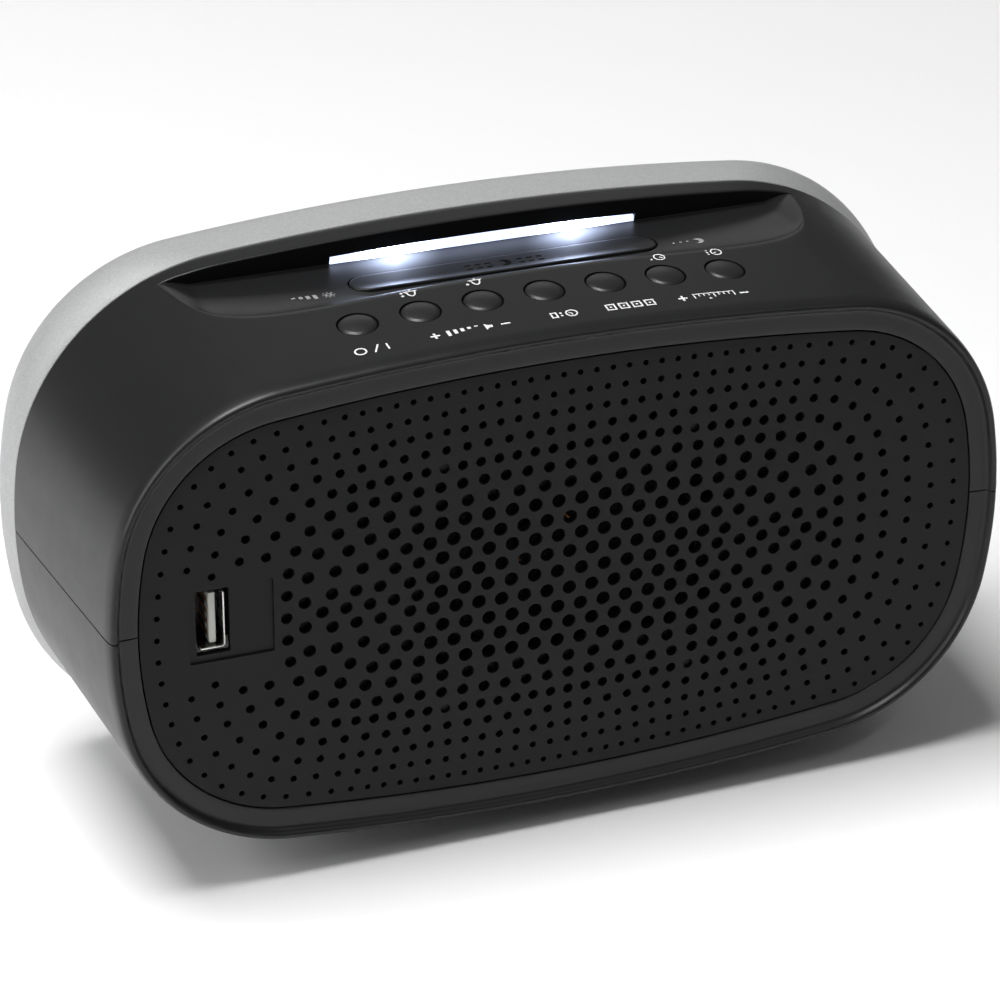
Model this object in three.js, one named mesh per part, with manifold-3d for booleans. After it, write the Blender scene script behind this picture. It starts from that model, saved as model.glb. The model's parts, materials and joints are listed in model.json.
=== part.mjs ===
// A tabletop clock radio: a flared two-part cabinet with a silver front bezel, a perforated rear
// grille with the loudspeaker behind it, seven top buttons, a snooze bar and a glowing light bar.
// Millimetres, +Z up, the display faces -Y, the grille faces +Y, and Z = 0 is the table.
// "depth" is measured forward from the grille's outer face, "rise" up from the grille's centre.
import * as THREE from "three";
import { mergeVertices } from "three/addons/utils/BufferGeometryUtils.js";
import Module from "manifold-3d";

const wasm = await Module();
wasm.setup();

// ---- Driving dimensions ----
const grilleCentreHeight = 60;
const ridgeProud = 1.75; // the rim's crest stands this far behind the grille
const cabinetDepth = 54; // grille face to the bezel joint
const frontDepth = 70.5; // grille face to the bezel's front edge
const wall = 2.2;
const gap = 0.3; // clearance between neighbouring pieces
const partingRise = 1.6;
const roundSides = 16;

// Cushion outlines: half sizes, rise of the centre, and the radii of the three tangent arcs.
const grilleOutline = { across: 92, up: 47.3, rise: 0, crown: 560, side: 94.6, corner: 31.8 };
const rimOutline = { across: 98.55, up: 54.4, rise: 0, crown: 627, side: 106, corner: 40 };
const jointOutline = { across: 103.3, up: 58.5, rise: 2.1, crown: 605, side: 102, corner: 49 };
const bezelOutline = { across: 103.7, up: 59, rise: 1.95, crown: 595, side: 107, corner: 42.5 };
const lensOutline = { across: 93.6, up: 48.9, rise: 1.95, crown: 585, side: 97, corner: 33 };

const buttonPitch = 13.45;
const buttonDepth = 15.2;
const buttonRadius = 4.2;
const buttonHoleRadius = 4.55;
const recess = {
  tip: 71,
  front: 50.2,
  floorRise: 53.2,
  floorWidth: 18.6,
  tipWidth: 0.8,
  rearBow: 450, // radius on which the floor's rear edge bows back
  endSharpness: 7.3,
  wallLean: 0.26, // the front wall overhangs the floor by this much per unit of rise
  lipSlope: 1.36,
};
const snooze = { halfLength: 34, halfWidth: 4.15, depth: 38, switchAt: 20 };
const lightBar = { halfLength: 34.3, bottomRise: 53.3, endRise: 55.0, midRise: 55.7, proud: 0.3 };
const speaker = { flangeHalf: 33, coneRadius: 24, screwAt: 28 };
const usb = { x: 76.9, rise: 2.05, halfWidth: 2.65, halfHeight: 6.45, sheet: 0.4, length: 14 };
const batteryBay = { halfWidth: 26, near: 13, far: 37, topRise: -41 };
const board = { thickness: 1.6, buttonRise: 43, mainRise: -34 };
const switchTopRise = 48;
const caseScrews = [
  { x: 62, depth: 12 },
  { x: 85, depth: 42 },
];
const feet = { x: 48, rearDepth: 18.5, frontDepth: 46, radius: 6.5, height: 2.3 };

const grilleY = (frontDepth - ridgeProud) / 2;
const atDepth = (depth) => grilleY - depth;
const atRise = (rise) => grilleCentreHeight + rise;

// ---- Colours and finishes ----
const finish = (color, roughness, metalness = 0) =>
  new THREE.MeshStandardMaterial({ color, roughness, metalness, flatShading: true });
const blackPlastic = finish(0x26272a, 0.42);
const grillePlastic = finish(0x202123, 0.5);
const silverPaint = finish(0xbfc1c4, 0.35, 0.6);
const smokedWindow = finish(0x0b0c0e, 0.08);
const diffuser = finish(0xe9f2ff, 0.4);
const softRubber = finish(0x1b1b1c, 0.9);
const plated = finish(0xc2c3c5, 0.25, 1);
const steel = finish(0x8e9195, 0.4, 1);
const boardGreen = finish(0x1f5a34, 0.55);
const ferrite = finish(0x2e2e31, 0.7);
const conePaper = finish(0x1e1d1c, 0.85);
const spiderCloth = finish(0xb98f5a, 0.9);
const copper = finish(0xb4693a, 0.4, 1);
const whitePlastic = finish(0xe6e6e0, 0.5);
const displayFace = finish(0x15161a, 0.6);

// ---- Solids ----
function toSolid(geometry) {
  const bare = geometry.clone();
  bare.deleteAttribute("normal");
  bare.deleteAttribute("uv");
  const merged = mergeVertices(bare, 1e-4);
  return new wasm.Manifold(
    new wasm.Mesh({
      numProp: 3,
      vertProperties: new Float32Array(merged.attributes.position.array),
      triVerts: new Uint32Array(merged.index.array),
    }),
  );
}

const part = new THREE.Group();

function addPiece(name, solid, material) {
  const { vertProperties, triVerts } = solid.getMesh();
  const geometry = new THREE.BufferGeometry();
  geometry.setAttribute("position", new THREE.BufferAttribute(vertProperties, 3));
  geometry.setIndex(new THREE.BufferAttribute(triVerts, 1));
  geometry.computeVertexNormals();
  const mesh = new THREE.Mesh(geometry, material);
  mesh.name = name;
  part.add(mesh);
}

const joined = (...solids) => solids.reduce((sum, solid) => sum.add(solid));

// A block between two x, two depths and two rises.
function block(x0, x1, depth0, depth1, rise0, rise1) {
  const geometry = new THREE.BoxGeometry(x1 - x0, depth1 - depth0, rise1 - rise0);
  geometry.translate((x0 + x1) / 2, atDepth((depth0 + depth1) / 2), atRise((rise0 + rise1) / 2));
  return toSolid(geometry);
}

// A disc or rod standing along Z, between two rises.
function rodUp(radius, x, depth, rise0, rise1, sides = roundSides) {
  const geometry = new THREE.CylinderGeometry(radius, radius, rise1 - rise0, sides);
  geometry.rotateX(Math.PI / 2);
  geometry.translate(x, atDepth(depth), atRise((rise0 + rise1) / 2));
  return toSolid(geometry);
}

// A disc or rod lying along Y, between two depths.
function rodBack(radius, x, rise, depth0, depth1, sides = roundSides) {
  const geometry = new THREE.CylinderGeometry(radius, radius, depth1 - depth0, sides);
  geometry.translate(x, atDepth((depth0 + depth1) / 2), atRise(rise));
  return toSolid(geometry);
}

// A piece turned about the loudspeaker's axis, from [radius, depth] points that close on themselves
// or end on the axis.
function turned(profile, sides = roundSides) {
  const points = profile.map(([radius, depth]) => new THREE.Vector2(radius, -depth));
  const spin = () => {
    const geometry = new THREE.LatheGeometry(points, sides);
    return toSolid(geometry.translate(0, grilleY, grilleCentreHeight));
  };
  const solid = spin();
  if (solid.volume() > 0) return solid;
  points.reverse();
  return spin();
}

// A stadium along X standing on Z: a bar with half-round ends.
function stadiumUp(halfLength, halfWidth, depth, rise0, rise1) {
  const shape = new THREE.Shape();
  const straight = halfLength - halfWidth;
  shape.absarc(straight, 0, halfWidth, -Math.PI / 2, Math.PI / 2);
  shape.absarc(-straight, 0, halfWidth, Math.PI / 2, (3 * Math.PI) / 2);
  shape.closePath();
  const geometry = new THREE.ExtrudeGeometry(shape, {
    depth: rise1 - rise0,
    bevelEnabled: false,
    curveSegments: 5,
  });
  geometry.translate(0, atDepth(depth), atRise(rise0));
  return toSolid(geometry);
}

// ---- Cushion outlines and the lofts between them ----
const crownSteps = 4;
const cornerSteps = 6;
const sideSteps = 2;

// Centres and tangent angles of the arcs in the upper right quarter, angles taken from straight up.
function cushionArcs({ across, up, crown, side, corner }) {
  const crownCentre = new THREE.Vector2(0, up - crown);
  const sideCentre = new THREE.Vector2(across - side, 0);
  const toCrown = crown - corner;
  const toSide = side - corner;
  const apart = crownCentre.distanceTo(sideCentre);
  const along = (toCrown ** 2 - toSide ** 2 + apart ** 2) / (2 * apart);
  const aside = Math.sqrt(toCrown ** 2 - along ** 2);
  const direction = sideCentre.clone().sub(crownCentre).divideScalar(apart);
  const cornerCentre = new THREE.Vector2(
    crownCentre.x + direction.x * along - direction.y * aside,
    crownCentre.y + direction.y * along + direction.x * aside,
  );
  if (cornerCentre.x < 0 || cornerCentre.y < 0) {
    cornerCentre.set(
      crownCentre.x + direction.x * along + direction.y * aside,
      crownCentre.y + direction.y * along - direction.x * aside,
    );
  }
  const angleFrom = (centre) =>
    Math.atan2(cornerCentre.x - centre.x, cornerCentre.y - centre.y);
  return {
    crownCentre,
    sideCentre,
    cornerCentre,
    crownEnd: angleFrom(crownCentre),
    sideStart: angleFrom(sideCentre),
  };
}

function cushionPoints(outline) {
  const arcs = cushionArcs(outline);
  const quarter = [];
  const sweep = (centre, radius, from, to, steps) => {
    for (let i = 0; i < steps; i++) {
      const angle = from + ((to - from) * i) / steps;
      quarter.push([centre.x + radius * Math.sin(angle), centre.y + radius * Math.cos(angle)]);
    }
  };
  sweep(arcs.crownCentre, outline.crown, 0, arcs.crownEnd, crownSteps);
  sweep(arcs.cornerCentre, outline.corner, arcs.crownEnd, arcs.sideStart, cornerSteps);
  sweep(arcs.sideCentre, outline.side, arcs.sideStart, Math.PI / 2, sideSteps);
  const points = [];
  const last = quarter.length;
  for (let i = 0; i < last; i++) points.push(quarter[i]);
  points.push([outline.across, 0]);
  for (let i = last - 1; i > 0; i--) points.push([quarter[i][0], -quarter[i][1]]);
  points.push([0, -outline.up]);
  for (let i = 1; i < last; i++) points.push([-quarter[i][0], -quarter[i][1]]);
  points.push([-outline.across, 0]);
  for (let i = last - 1; i > 0; i--) points.push([-quarter[i][0], quarter[i][1]]);
  return points.map(([x, z]) => [x, z + outline.rise]);
}

const inset = (outline, by) => ({
  across: outline.across - by,
  up: outline.up - by,
  rise: outline.rise,
  crown: outline.crown - by,
  side: outline.side - by,
  corner: outline.corner - by,
});

const blend = (from, to, share) =>
  Object.fromEntries(Object.keys(from).map((key) => [key, from[key] + (to[key] - from[key]) * share]));

// The cabinet's outer outline at a depth: its sides flare in a straight line to the bezel joint.
const cabinetOutline = (depth) => blend(rimOutline, jointOutline, depth / cabinetDepth);

// A closed solid through a list of { depth, points }, rear first.
function loft(sections) {
  const positions = [];
  const triangles = [];
  const count = sections[0].points.length;
  for (const { depth, points } of sections) {
    for (const [x, rise] of points) positions.push(x, atDepth(depth), atRise(rise));
  }
  for (let ring = 0; ring + 1 < sections.length; ring++) {
    for (let i = 0; i < count; i++) {
      const a = ring * count + i;
      const b = ring * count + ((i + 1) % count);
      triangles.push(a, a + count, b, b, a + count, b + count);
    }
  }
  const middle = sections[0].points.reduce((sum, [, rise]) => sum + rise, 0) / count;
  const frontStart = (sections.length - 1) * count;
  const rearCentre = positions.length / 3;
  positions.push(0, atDepth(sections[0].depth), atRise(middle));
  const frontCentre = rearCentre + 1;
  positions.push(0, atDepth(sections[sections.length - 1].depth), atRise(middle));
  for (let i = 0; i < count; i++) {
    const next = (i + 1) % count;
    triangles.push(rearCentre, i, next);
    triangles.push(frontCentre, frontStart + next, frontStart + i);
  }
  const geometry = new THREE.BufferGeometry();
  geometry.setAttribute("position", new THREE.Float32BufferAttribute(positions, 3));
  geometry.setIndex(triangles);
  return toSolid(geometry);
}

const cushionLoft = (sections) =>
  loft(sections.map(([depth, outline]) => ({ depth, points: cushionPoints(outline) })));

// Rise of the cabinet's top surface at a place within the crown arc.
function topRise(x, depth) {
  const { up, rise, crown } = cabinetOutline(depth);
  return rise + up - crown + Math.sqrt(crown ** 2 - x ** 2);
}

// Rise of the cabinet's underside, which mirrors the crown arc.
function bottomRise(x, depth) {
  const { up, rise, crown } = cabinetOutline(depth);
  return rise - up + crown - Math.sqrt(crown ** 2 - x ** 2);
}

// ---- Cabinet: one hollow body, cut at the parting line ----
const cabinetBody = cushionLoft([
  [0, inset(rimOutline, 6.25)],
  [-1.4, inset(rimOutline, 3.7)],
  [-ridgeProud, inset(rimOutline, 2.5)],
  [-1.4, inset(rimOutline, 1.3)],
  [-0.5, inset(rimOutline, 0.4)],
  [1, cabinetOutline(1)],
  [cabinetDepth, jointOutline],
]);
const ledgeDepth = 2.5;
const ledgeThickness = 1.5;
const cavityStart = ledgeDepth + ledgeThickness;
const cabinetCavity = cushionLoft([
  [cavityStart, inset(cabinetOutline(cavityStart), wall)],
  [cabinetDepth + 1, inset(cabinetOutline(cabinetDepth + 1), wall)],
]);
const grilleSeat = cushionLoft([
  [-3, inset(grilleOutline, -gap)],
  [ledgeDepth, inset(grilleOutline, -gap)],
]);
const ledgeOpening = cushionLoft([
  [ledgeDepth - 1, inset(grilleOutline, 2.6)],
  [cavityStart + 1, inset(grilleOutline, 2.6)],
]);

// The long recess: a flat floor with an overhanging front wall and a sloping rear lip, pointed at
// both ends. Its rear edge is a flat curve that turns forward sharply towards the tips.
function recessPoints(grow, rise) {
  const climb = rise - recess.floorRise;
  const back = Math.max(climb, 0) * recess.lipSlope;
  const points = [];
  const steps = 14;
  for (let i = 0; i <= steps; i++) {
    const share = -1 + (2 * i) / steps;
    const x = Math.sin((share * Math.PI) / 2) * (recess.tip + grow);
    const reach = Math.sqrt(1 - Math.abs(x / (recess.tip + grow)) ** recess.endSharpness);
    const width = recess.floorWidth + x ** 2 / (2 * recess.rearBow) + back;
    points.push([x, recess.front - recess.tipWidth - width * reach - grow]);
  }
  const frontEdge = recess.front - Math.max(climb, 0) * recess.wallLean + grow;
  points.push([recess.tip + grow, frontEdge]);
  points.push([-recess.tip - grow, frontEdge]);
  return points;
}

// A solid between two plan outlines of [x, depth] points at two rises.
function standingLoft(lower, lowerRise, upper, upperRise) {
  const count = lower.length;
  const positions = [];
  const triangles = [];
  for (const [x, depth] of lower) positions.push(x, atDepth(depth), atRise(lowerRise));
  for (const [x, depth] of upper) positions.push(x, atDepth(depth), atRise(upperRise));
  for (let i = 0; i < count; i++) {
    const next = (i + 1) % count;
    triangles.push(i, i + count, next, next, i + count, next + count);
  }
  const flat = lower.map(([x, depth]) => new THREE.Vector2(x, atDepth(depth)));
  for (const [a, b, c] of THREE.ShapeUtils.triangulateShape(flat, [])) {
    const turn =
      (flat[b].x - flat[a].x) * (flat[c].y - flat[a].y) -
      (flat[b].y - flat[a].y) * (flat[c].x - flat[a].x);
    const [p, q] = turn > 0 ? [b, c] : [c, b];
    triangles.push(a, q, p, a + count, p + count, q + count);
  }
  const geometry = new THREE.BufferGeometry();
  geometry.setAttribute("position", new THREE.Float32BufferAttribute(positions, 3));
  geometry.setIndex(triangles);
  return toSolid(geometry);
}

const recessTopRise = 63;
const recessCut = standingLoft(
  recessPoints(0, recess.floorRise),
  recess.floorRise,
  recessPoints(0, recessTopRise),
  recessTopRise,
);
const recessTray = standingLoft(
  recessPoints(wall, recess.floorRise),
  recess.floorRise - wall,
  recessPoints(wall, recessTopRise),
  recessTopRise,
);

const hollowCabinet = cabinetBody
  .subtract(cabinetCavity.subtract(recessTray))
  .subtract(recessCut)
  .subtract(grilleSeat)
  .subtract(ledgeOpening);
const upperHalf = block(-120, 120, -10, 80, partingRise + gap / 2, 90);
const lowerHalf = block(-120, 120, -10, 80, -90, partingRise - gap / 2);

// The seven buttons stand in a row that follows the crown.
const buttonNames = [
  "tuning_down_button",
  "tuning_up_button",
  "preset_button",
  "time_button",
  "volume_down_button",
  "volume_up_button",
  "power_button",
];
const buttons = buttonNames.map((name, index) => {
  const x = (index - 3) * buttonPitch;
  return { name, x, rise: topRise(x, buttonDepth) };
});
const topSlope = Math.atan((topRise(0, cabinetDepth) - topRise(0, 0)) / cabinetDepth);

// Leans a solid made at the origin to match the crown at a button, then puts it there.
function leanOnCrown(geometry, { x, rise }) {
  geometry.rotateX(-topSlope);
  geometry.rotateY(Math.asin(x / cabinetOutline(buttonDepth).crown));
  geometry.translate(x, atDepth(buttonDepth), atRise(rise));
  return toSolid(geometry);
}

function buttonHole(button) {
  const hole = new THREE.CylinderGeometry(buttonHoleRadius, buttonHoleRadius, 14, roundSides);
  hole.rotateX(Math.PI / 2);
  return leanOnCrown(hole, button);
}

const bossSides = 12;
const upperBosses = [];
const lowerBosses = [];
const lowerBossBores = [];
for (const { x, depth } of caseScrews) {
  for (const side of [-1, 1]) {
    const boss = rodUp(3.6, x * side, depth, partingRise + gap / 2, 56, bossSides);
    const pilot = rodUp(1.6, x * side, depth, partingRise, partingRise + 12, bossSides);
    upperBosses.push({ boss, pilot });
    lowerBosses.push(rodUp(4.4, x * side, depth, -56, partingRise - gap / 2, bossSides));
    lowerBossBores.push(rodUp(3.1, x * side, depth, -60, partingRise - 6, bossSides));
    lowerBossBores.push(rodUp(1.7, x * side, depth, partingRise - 7, partingRise + 1, bossSides));
  }
}

const boardScrewX = 46;
const boardScrewDepth = 30;
const boardPosts = [-1, 1].map((side) =>
  rodUp(2.6, boardScrewX * side, boardScrewDepth, board.buttonRise + board.thickness + gap, 56, bossSides),
);
const boardPostBores = [-1, 1].map((side) =>
  rodUp(1.3, boardScrewX * side, boardScrewDepth, board.buttonRise, 50.5, bossSides),
);

// The light bar's slot in the foot of the recess's front wall, arched along the top.
function archedBar(halfLength, bottomRise, endRise, midRise, depth0, depth1) {
  const shape = new THREE.Shape();
  shape.moveTo(-halfLength, bottomRise);
  shape.lineTo(halfLength, bottomRise);
  shape.lineTo(halfLength, endRise);
  shape.quadraticCurveTo(0, 2 * midRise - endRise, -halfLength, endRise);
  shape.closePath();
  const geometry = new THREE.ExtrudeGeometry(shape, {
    depth: depth1 - depth0,
    bevelEnabled: false,
    curveSegments: 10,
  });
  geometry.rotateX(Math.PI / 2);
  geometry.translate(0, atDepth(depth0), grilleCentreHeight);
  return toSolid(geometry);
}

const insideUpper = cabinetBody.intersect(upperHalf);
let upperShell = hollowCabinet.intersect(upperHalf);
for (const { boss } of upperBosses) upperShell = upperShell.add(boss.intersect(insideUpper));
for (const post of boardPosts) upperShell = upperShell.add(post.intersect(insideUpper));
upperShell = upperShell.subtract(recessCut);
for (const { pilot } of upperBosses) upperShell = upperShell.subtract(pilot);
for (const bore of boardPostBores) upperShell = upperShell.subtract(bore);
for (const button of buttons) upperShell = upperShell.subtract(buttonHole(button));
upperShell = upperShell
  .subtract(stadiumUp(snooze.halfLength + 0.4, snooze.halfWidth + 0.4, snooze.depth, 49, 56))
  .subtract(
    archedBar(
      lightBar.halfLength + gap,
      lightBar.bottomRise - gap,
      lightBar.endRise + gap,
      lightBar.midRise + gap,
      recess.front - 2,
      cabinetDepth + 2,
    ),
  );
addPiece("upper_shell", upperShell, blackPlastic);

// ---- Lower shell: battery bay, foot pads, screw bosses and the power inlet's hole ----
const bay = batteryBay;
const bayWall = 1.8;
const bayTub = block(
  -bay.halfWidth - bayWall,
  bay.halfWidth + bayWall,
  bay.near - bayWall,
  bay.far + bayWall,
  -60,
  bay.topRise + bayWall,
);
const bayHollow = block(-bay.halfWidth, bay.halfWidth, bay.near, bay.far, -60, bay.topRise);
const doorDrop = 2.4;
const doorSeatRise = bottomRise(0, bay.near) + doorDrop;
const doorMargin = 2;
const doorOpening = block(
  -bay.halfWidth - doorMargin,
  bay.halfWidth + doorMargin,
  bay.near - doorMargin,
  bay.far + doorMargin,
  -60,
  doorSeatRise,
);
const ledgeFrame = block(
  -bay.halfWidth - doorMargin - bayWall,
  bay.halfWidth + doorMargin + bayWall,
  bay.near - doorMargin - bayWall,
  bay.far + doorMargin + bayWall,
  -60,
  doorSeatRise + bayWall,
);
const footPlaces = [];
for (const depth of [feet.rearDepth, feet.frontDepth]) {
  for (const side of [-1, 1]) footPlaces.push({ x: feet.x * side, depth });
}
const footTopRise = feet.height - grilleCentreHeight;
const inlet = { x: -86.4, depth: 25, rise: -25, holeRadius: 4.6 };
const inletHole = new THREE.CylinderGeometry(inlet.holeRadius, inlet.holeRadius, 30, bossSides);
inletHole.rotateZ(Math.PI / 2);
inletHole.translate(inlet.x - 22, atDepth(inlet.depth), atRise(inlet.rise));

const insideLower = cabinetBody.intersect(lowerHalf);
let lowerShell = hollowCabinet.intersect(lowerHalf);
for (const boss of lowerBosses) lowerShell = lowerShell.add(boss.intersect(insideLower));
lowerShell = lowerShell.add(joined(bayTub, ledgeFrame).intersect(insideLower));
for (const { x, depth } of footPlaces) {
  const pad = rodUp(feet.radius, x, depth, footTopRise + gap, bottomRise(x, depth) + 1.5);
  lowerShell = lowerShell.add(pad);
}
for (const bore of lowerBossBores) lowerShell = lowerShell.subtract(bore);
lowerShell = lowerShell.subtract(bayHollow).subtract(doorOpening).subtract(toSolid(inletHole));
addPiece("lower_shell", lowerShell, blackPlastic);

const doorBlank = block(
  -bay.halfWidth - doorMargin + gap,
  bay.halfWidth + doorMargin - gap,
  bay.near - doorMargin + gap,
  bay.far + doorMargin - gap,
  -60,
  doorSeatRise - gap,
);
const gripPitch = 1.8;
const gripTopRise = bottomRise(0, 34) + 0.5;
const doorGrip = joined(
  ...[0, 1, 2].map((line) => {
    const near = 32 + line * gripPitch;
    return block(-9, 9, near, near + gripPitch / 2, -60, gripTopRise);
  }),
);
addPiece("battery_door", doorBlank.intersect(cabinetBody).subtract(doorGrip), blackPlastic);

footPlaces.forEach(({ x, depth }, index) => {
  const foot = rodUp(feet.radius - 0.5, x, depth, -grilleCentreHeight, footTopRise);
  addPiece(`rubber_foot_${index + 1}`, foot, softRubber);
});

// ---- Front bezel and window ----
const bezelWall = 3.4;
const lensSeatDepth = 67;
const bezelBody = cushionLoft([
  [cabinetDepth + gap, inset(jointOutline, -0.05)],
  [58.5, inset(blend(jointOutline, bezelOutline, 0.75), -0.1)],
  [63.5, bezelOutline],
  [67, inset(bezelOutline, 0.75)],
  [69.3, inset(bezelOutline, 2.1)],
  [frontDepth, inset(bezelOutline, 4.4)],
]);
const bezelCavity = cushionLoft([
  [cabinetDepth - 1, inset(jointOutline, bezelWall)],
  [lensSeatDepth, inset(bezelOutline, bezelWall + 0.4)],
]);
const lensOpening = cushionLoft([
  [lensSeatDepth - 1, inset(lensOutline, -gap)],
  [lensSeatDepth + 1.7, inset(lensOutline, -gap)],
  [frontDepth + 0.2, inset(lensOutline, -2.6)],
]);
// A skirt behind the bezel plugs into the cabinet, cut away where the recess's tray stands.
const skirtOuter = cushionLoft([
  [cabinetDepth - 4, inset(cabinetOutline(cabinetDepth - 4), wall + gap)],
  [cabinetDepth + 2, inset(cabinetOutline(cabinetDepth), wall + gap)],
]);
const skirtInner = cushionLoft([
  [cabinetDepth - 5, inset(cabinetOutline(cabinetDepth - 5), wall + gap + 1.5)],
  [cabinetDepth + 3, inset(cabinetOutline(cabinetDepth), wall + gap + 1.5)],
]);
const skirtGap = block(-78, 78, 40, 60, 10, 80);
const skirt = skirtOuter.subtract(skirtInner).subtract(skirtGap);
addPiece(
  "front_bezel",
  bezelBody.subtract(bezelCavity).subtract(lensOpening).add(skirt),
  silverPaint,
);

const lensFlange = cushionLoft([
  [lensSeatDepth - gap - 1.6, inset(lensOutline, -1.8)],
  [lensSeatDepth - gap, inset(lensOutline, -1.8)],
]);
const lensFace = cushionLoft([
  [lensSeatDepth - gap - 0.5, lensOutline],
  [lensSeatDepth + 1.2, lensOutline],
  [lensSeatDepth + 1.6, inset(lensOutline, 0.5)],
]);
addPiece("front_window", joined(lensFlange, lensFace), smokedWindow);

// ---- Rear grille: the openings in front of the cone are cut through, in rings round the centre ----
const grilleThickness = 2.2;
const rowRise = 4.0;
const holePitch = 5.2;
const soundHoleRadius = 1.25;
const soundFieldRadius = 19.5;
let grille = cushionLoft([
  [0, inset(grilleOutline, 0.4)],
  [0.4, grilleOutline],
  [grilleThickness, grilleOutline],
]);
const soundHoles = [];
for (let row = -5; row <= 5; row++) {
  const stagger = row % 2 === 0 ? 0 : holePitch / 2;
  for (let column = -6; column <= 6; column++) {
    const x = column * holePitch + stagger;
    const rise = row * rowRise;
    if (Math.hypot(x, rise) > soundFieldRadius) continue;
    soundHoles.push(rodBack(soundHoleRadius, x, rise, -1, grilleThickness + 1, 6));
  }
}
const grillePosts = [];
const grillePostBores = [];
for (const sideX of [-1, 1]) {
  for (const sideZ of [-1, 1]) {
    const x = speaker.screwAt * sideX;
    const rise = speaker.screwAt * sideZ;
    grillePosts.push(rodBack(2.6, x, rise, grilleThickness - 0.5, 4, bossSides));
    grillePostBores.push(rodBack(1.3, x, rise, 0.9, 6, bossSides));
  }
}
const usbClearance = 0.6;
const usbRecess = block(
  usb.x - usb.halfWidth - usbClearance,
  usb.x + usb.halfWidth + usbClearance,
  -1,
  4,
  usb.rise - usb.halfHeight - usbClearance,
  usb.rise + usb.halfHeight + usbClearance,
);
const patchDepth = 0.35;
const usbPatch = block(64.3, 81.8, -1, patchDepth, -6.4, 9.2);
grille = joined(grille, ...grillePosts);
for (const hole of soundHoles) grille = grille.subtract(hole);
for (const bore of grillePostBores) grille = grille.subtract(bore);
addPiece("rear_grille", grille.subtract(usbPatch).subtract(usbRecess), grillePlastic);

// ---- USB socket ----
const usbFace = 0.9;
const usbShellOuter = block(
  usb.x - usb.halfWidth,
  usb.x + usb.halfWidth,
  usbFace,
  usbFace + usb.length,
  usb.rise - usb.halfHeight,
  usb.rise + usb.halfHeight,
);
const usbShellInner = block(
  usb.x - usb.halfWidth + usb.sheet,
  usb.x + usb.halfWidth - usb.sheet,
  usbFace - 1,
  usbFace + usb.length + 1,
  usb.rise - usb.halfHeight + usb.sheet,
  usb.rise + usb.halfHeight - usb.sheet,
);
addPiece("usb_shell", usbShellOuter.subtract(usbShellInner), plated);
const bladeHalf = 5.6;
const tongueBlade = block(
  usb.x - 0.5,
  usb.x + 1.35,
  usbFace + 1.2,
  12,
  usb.rise - bladeHalf,
  usb.rise + bladeHalf,
);
const baseHalf = 5.7;
const tongueBase = block(
  usb.x - 1.9,
  usb.x + 1.9,
  11,
  usbFace + usb.length - 0.4,
  usb.rise - baseHalf,
  usb.rise + baseHalf,
);
addPiece("usb_tongue", joined(tongueBlade, tongueBase), whitePlastic);
const usbBoard = block(usb.x - 9, usb.x + 7, 15.2, 16.8, usb.rise - 12, usb.rise + 12);
const usbChip = block(usb.x - 7, usb.x - 1, 16.6, 18.4, usb.rise - 3, usb.rise + 3);
addPiece("usb_board", joined(usbBoard, usbChip), boardGreen);

// ---- Top controls ----
const capDrop = 2.8;
const flangeDrop = 3.7;
const stemRadius = 1.7;
const stemSides = 8;
const stemTipRise = 46.6;
for (const button of buttons) {
  const profile = [
    [0, 0.35],
    [2.4, 0.15],
    [buttonRadius - 0.3, -0.15],
    [buttonRadius, -0.5],
    [buttonRadius, -capDrop],
    [buttonRadius + 0.9, -capDrop],
    [buttonRadius + 0.9, -flangeDrop],
    [0, -flangeDrop],
  ].map(([radius, rise]) => new THREE.Vector2(radius, rise));
  const cap = new THREE.LatheGeometry(profile.reverse(), roundSides);
  cap.rotateX(Math.PI / 2);
  const stem = rodUp(stemRadius, button.x, buttonDepth, stemTipRise, button.rise - 2, stemSides);
  addPiece(button.name, leanOnCrown(cap, button).add(stem), blackPlastic);
}

const snoozeTop = recess.floorRise + 0.25;
const snoozeBar = stadiumUp(snooze.halfLength, snooze.halfWidth, snooze.depth, 50.2, snoozeTop);
const snoozeFlange = stadiumUp(snooze.halfLength + 1.4, snooze.halfWidth + 1.4, snooze.depth, 49.9, 50.6);
const snoozeStems = [-1, 1].map((side) =>
  rodUp(stemRadius, snooze.switchAt * side, snooze.depth, stemTipRise, 50.4, stemSides),
);
addPiece("snooze_bar", joined(snoozeBar, snoozeFlange, ...snoozeStems), blackPlastic);

const lightBarFar = cabinetDepth + 2.5;
addPiece(
  "light_bar",
  archedBar(
    lightBar.halfLength,
    lightBar.bottomRise,
    lightBar.endRise,
    lightBar.midRise,
    recess.front - lightBar.proud,
    lightBarFar,
  ),
  diffuser,
);
const lampDepth = lightBarFar + gap;
const lightBoard = block(-38, 38, lampDepth + 1.2, lampDepth + 2.4, 50.6, 55.7);
const lamps = [-1, 1].map((side) =>
  block(side * 20 - 1.75, side * 20 + 1.75, lampDepth, lampDepth + 1.4, 53.2, 55.4),
);
addPiece("light_board", joined(lightBoard, ...lamps), boardGreen);

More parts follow.
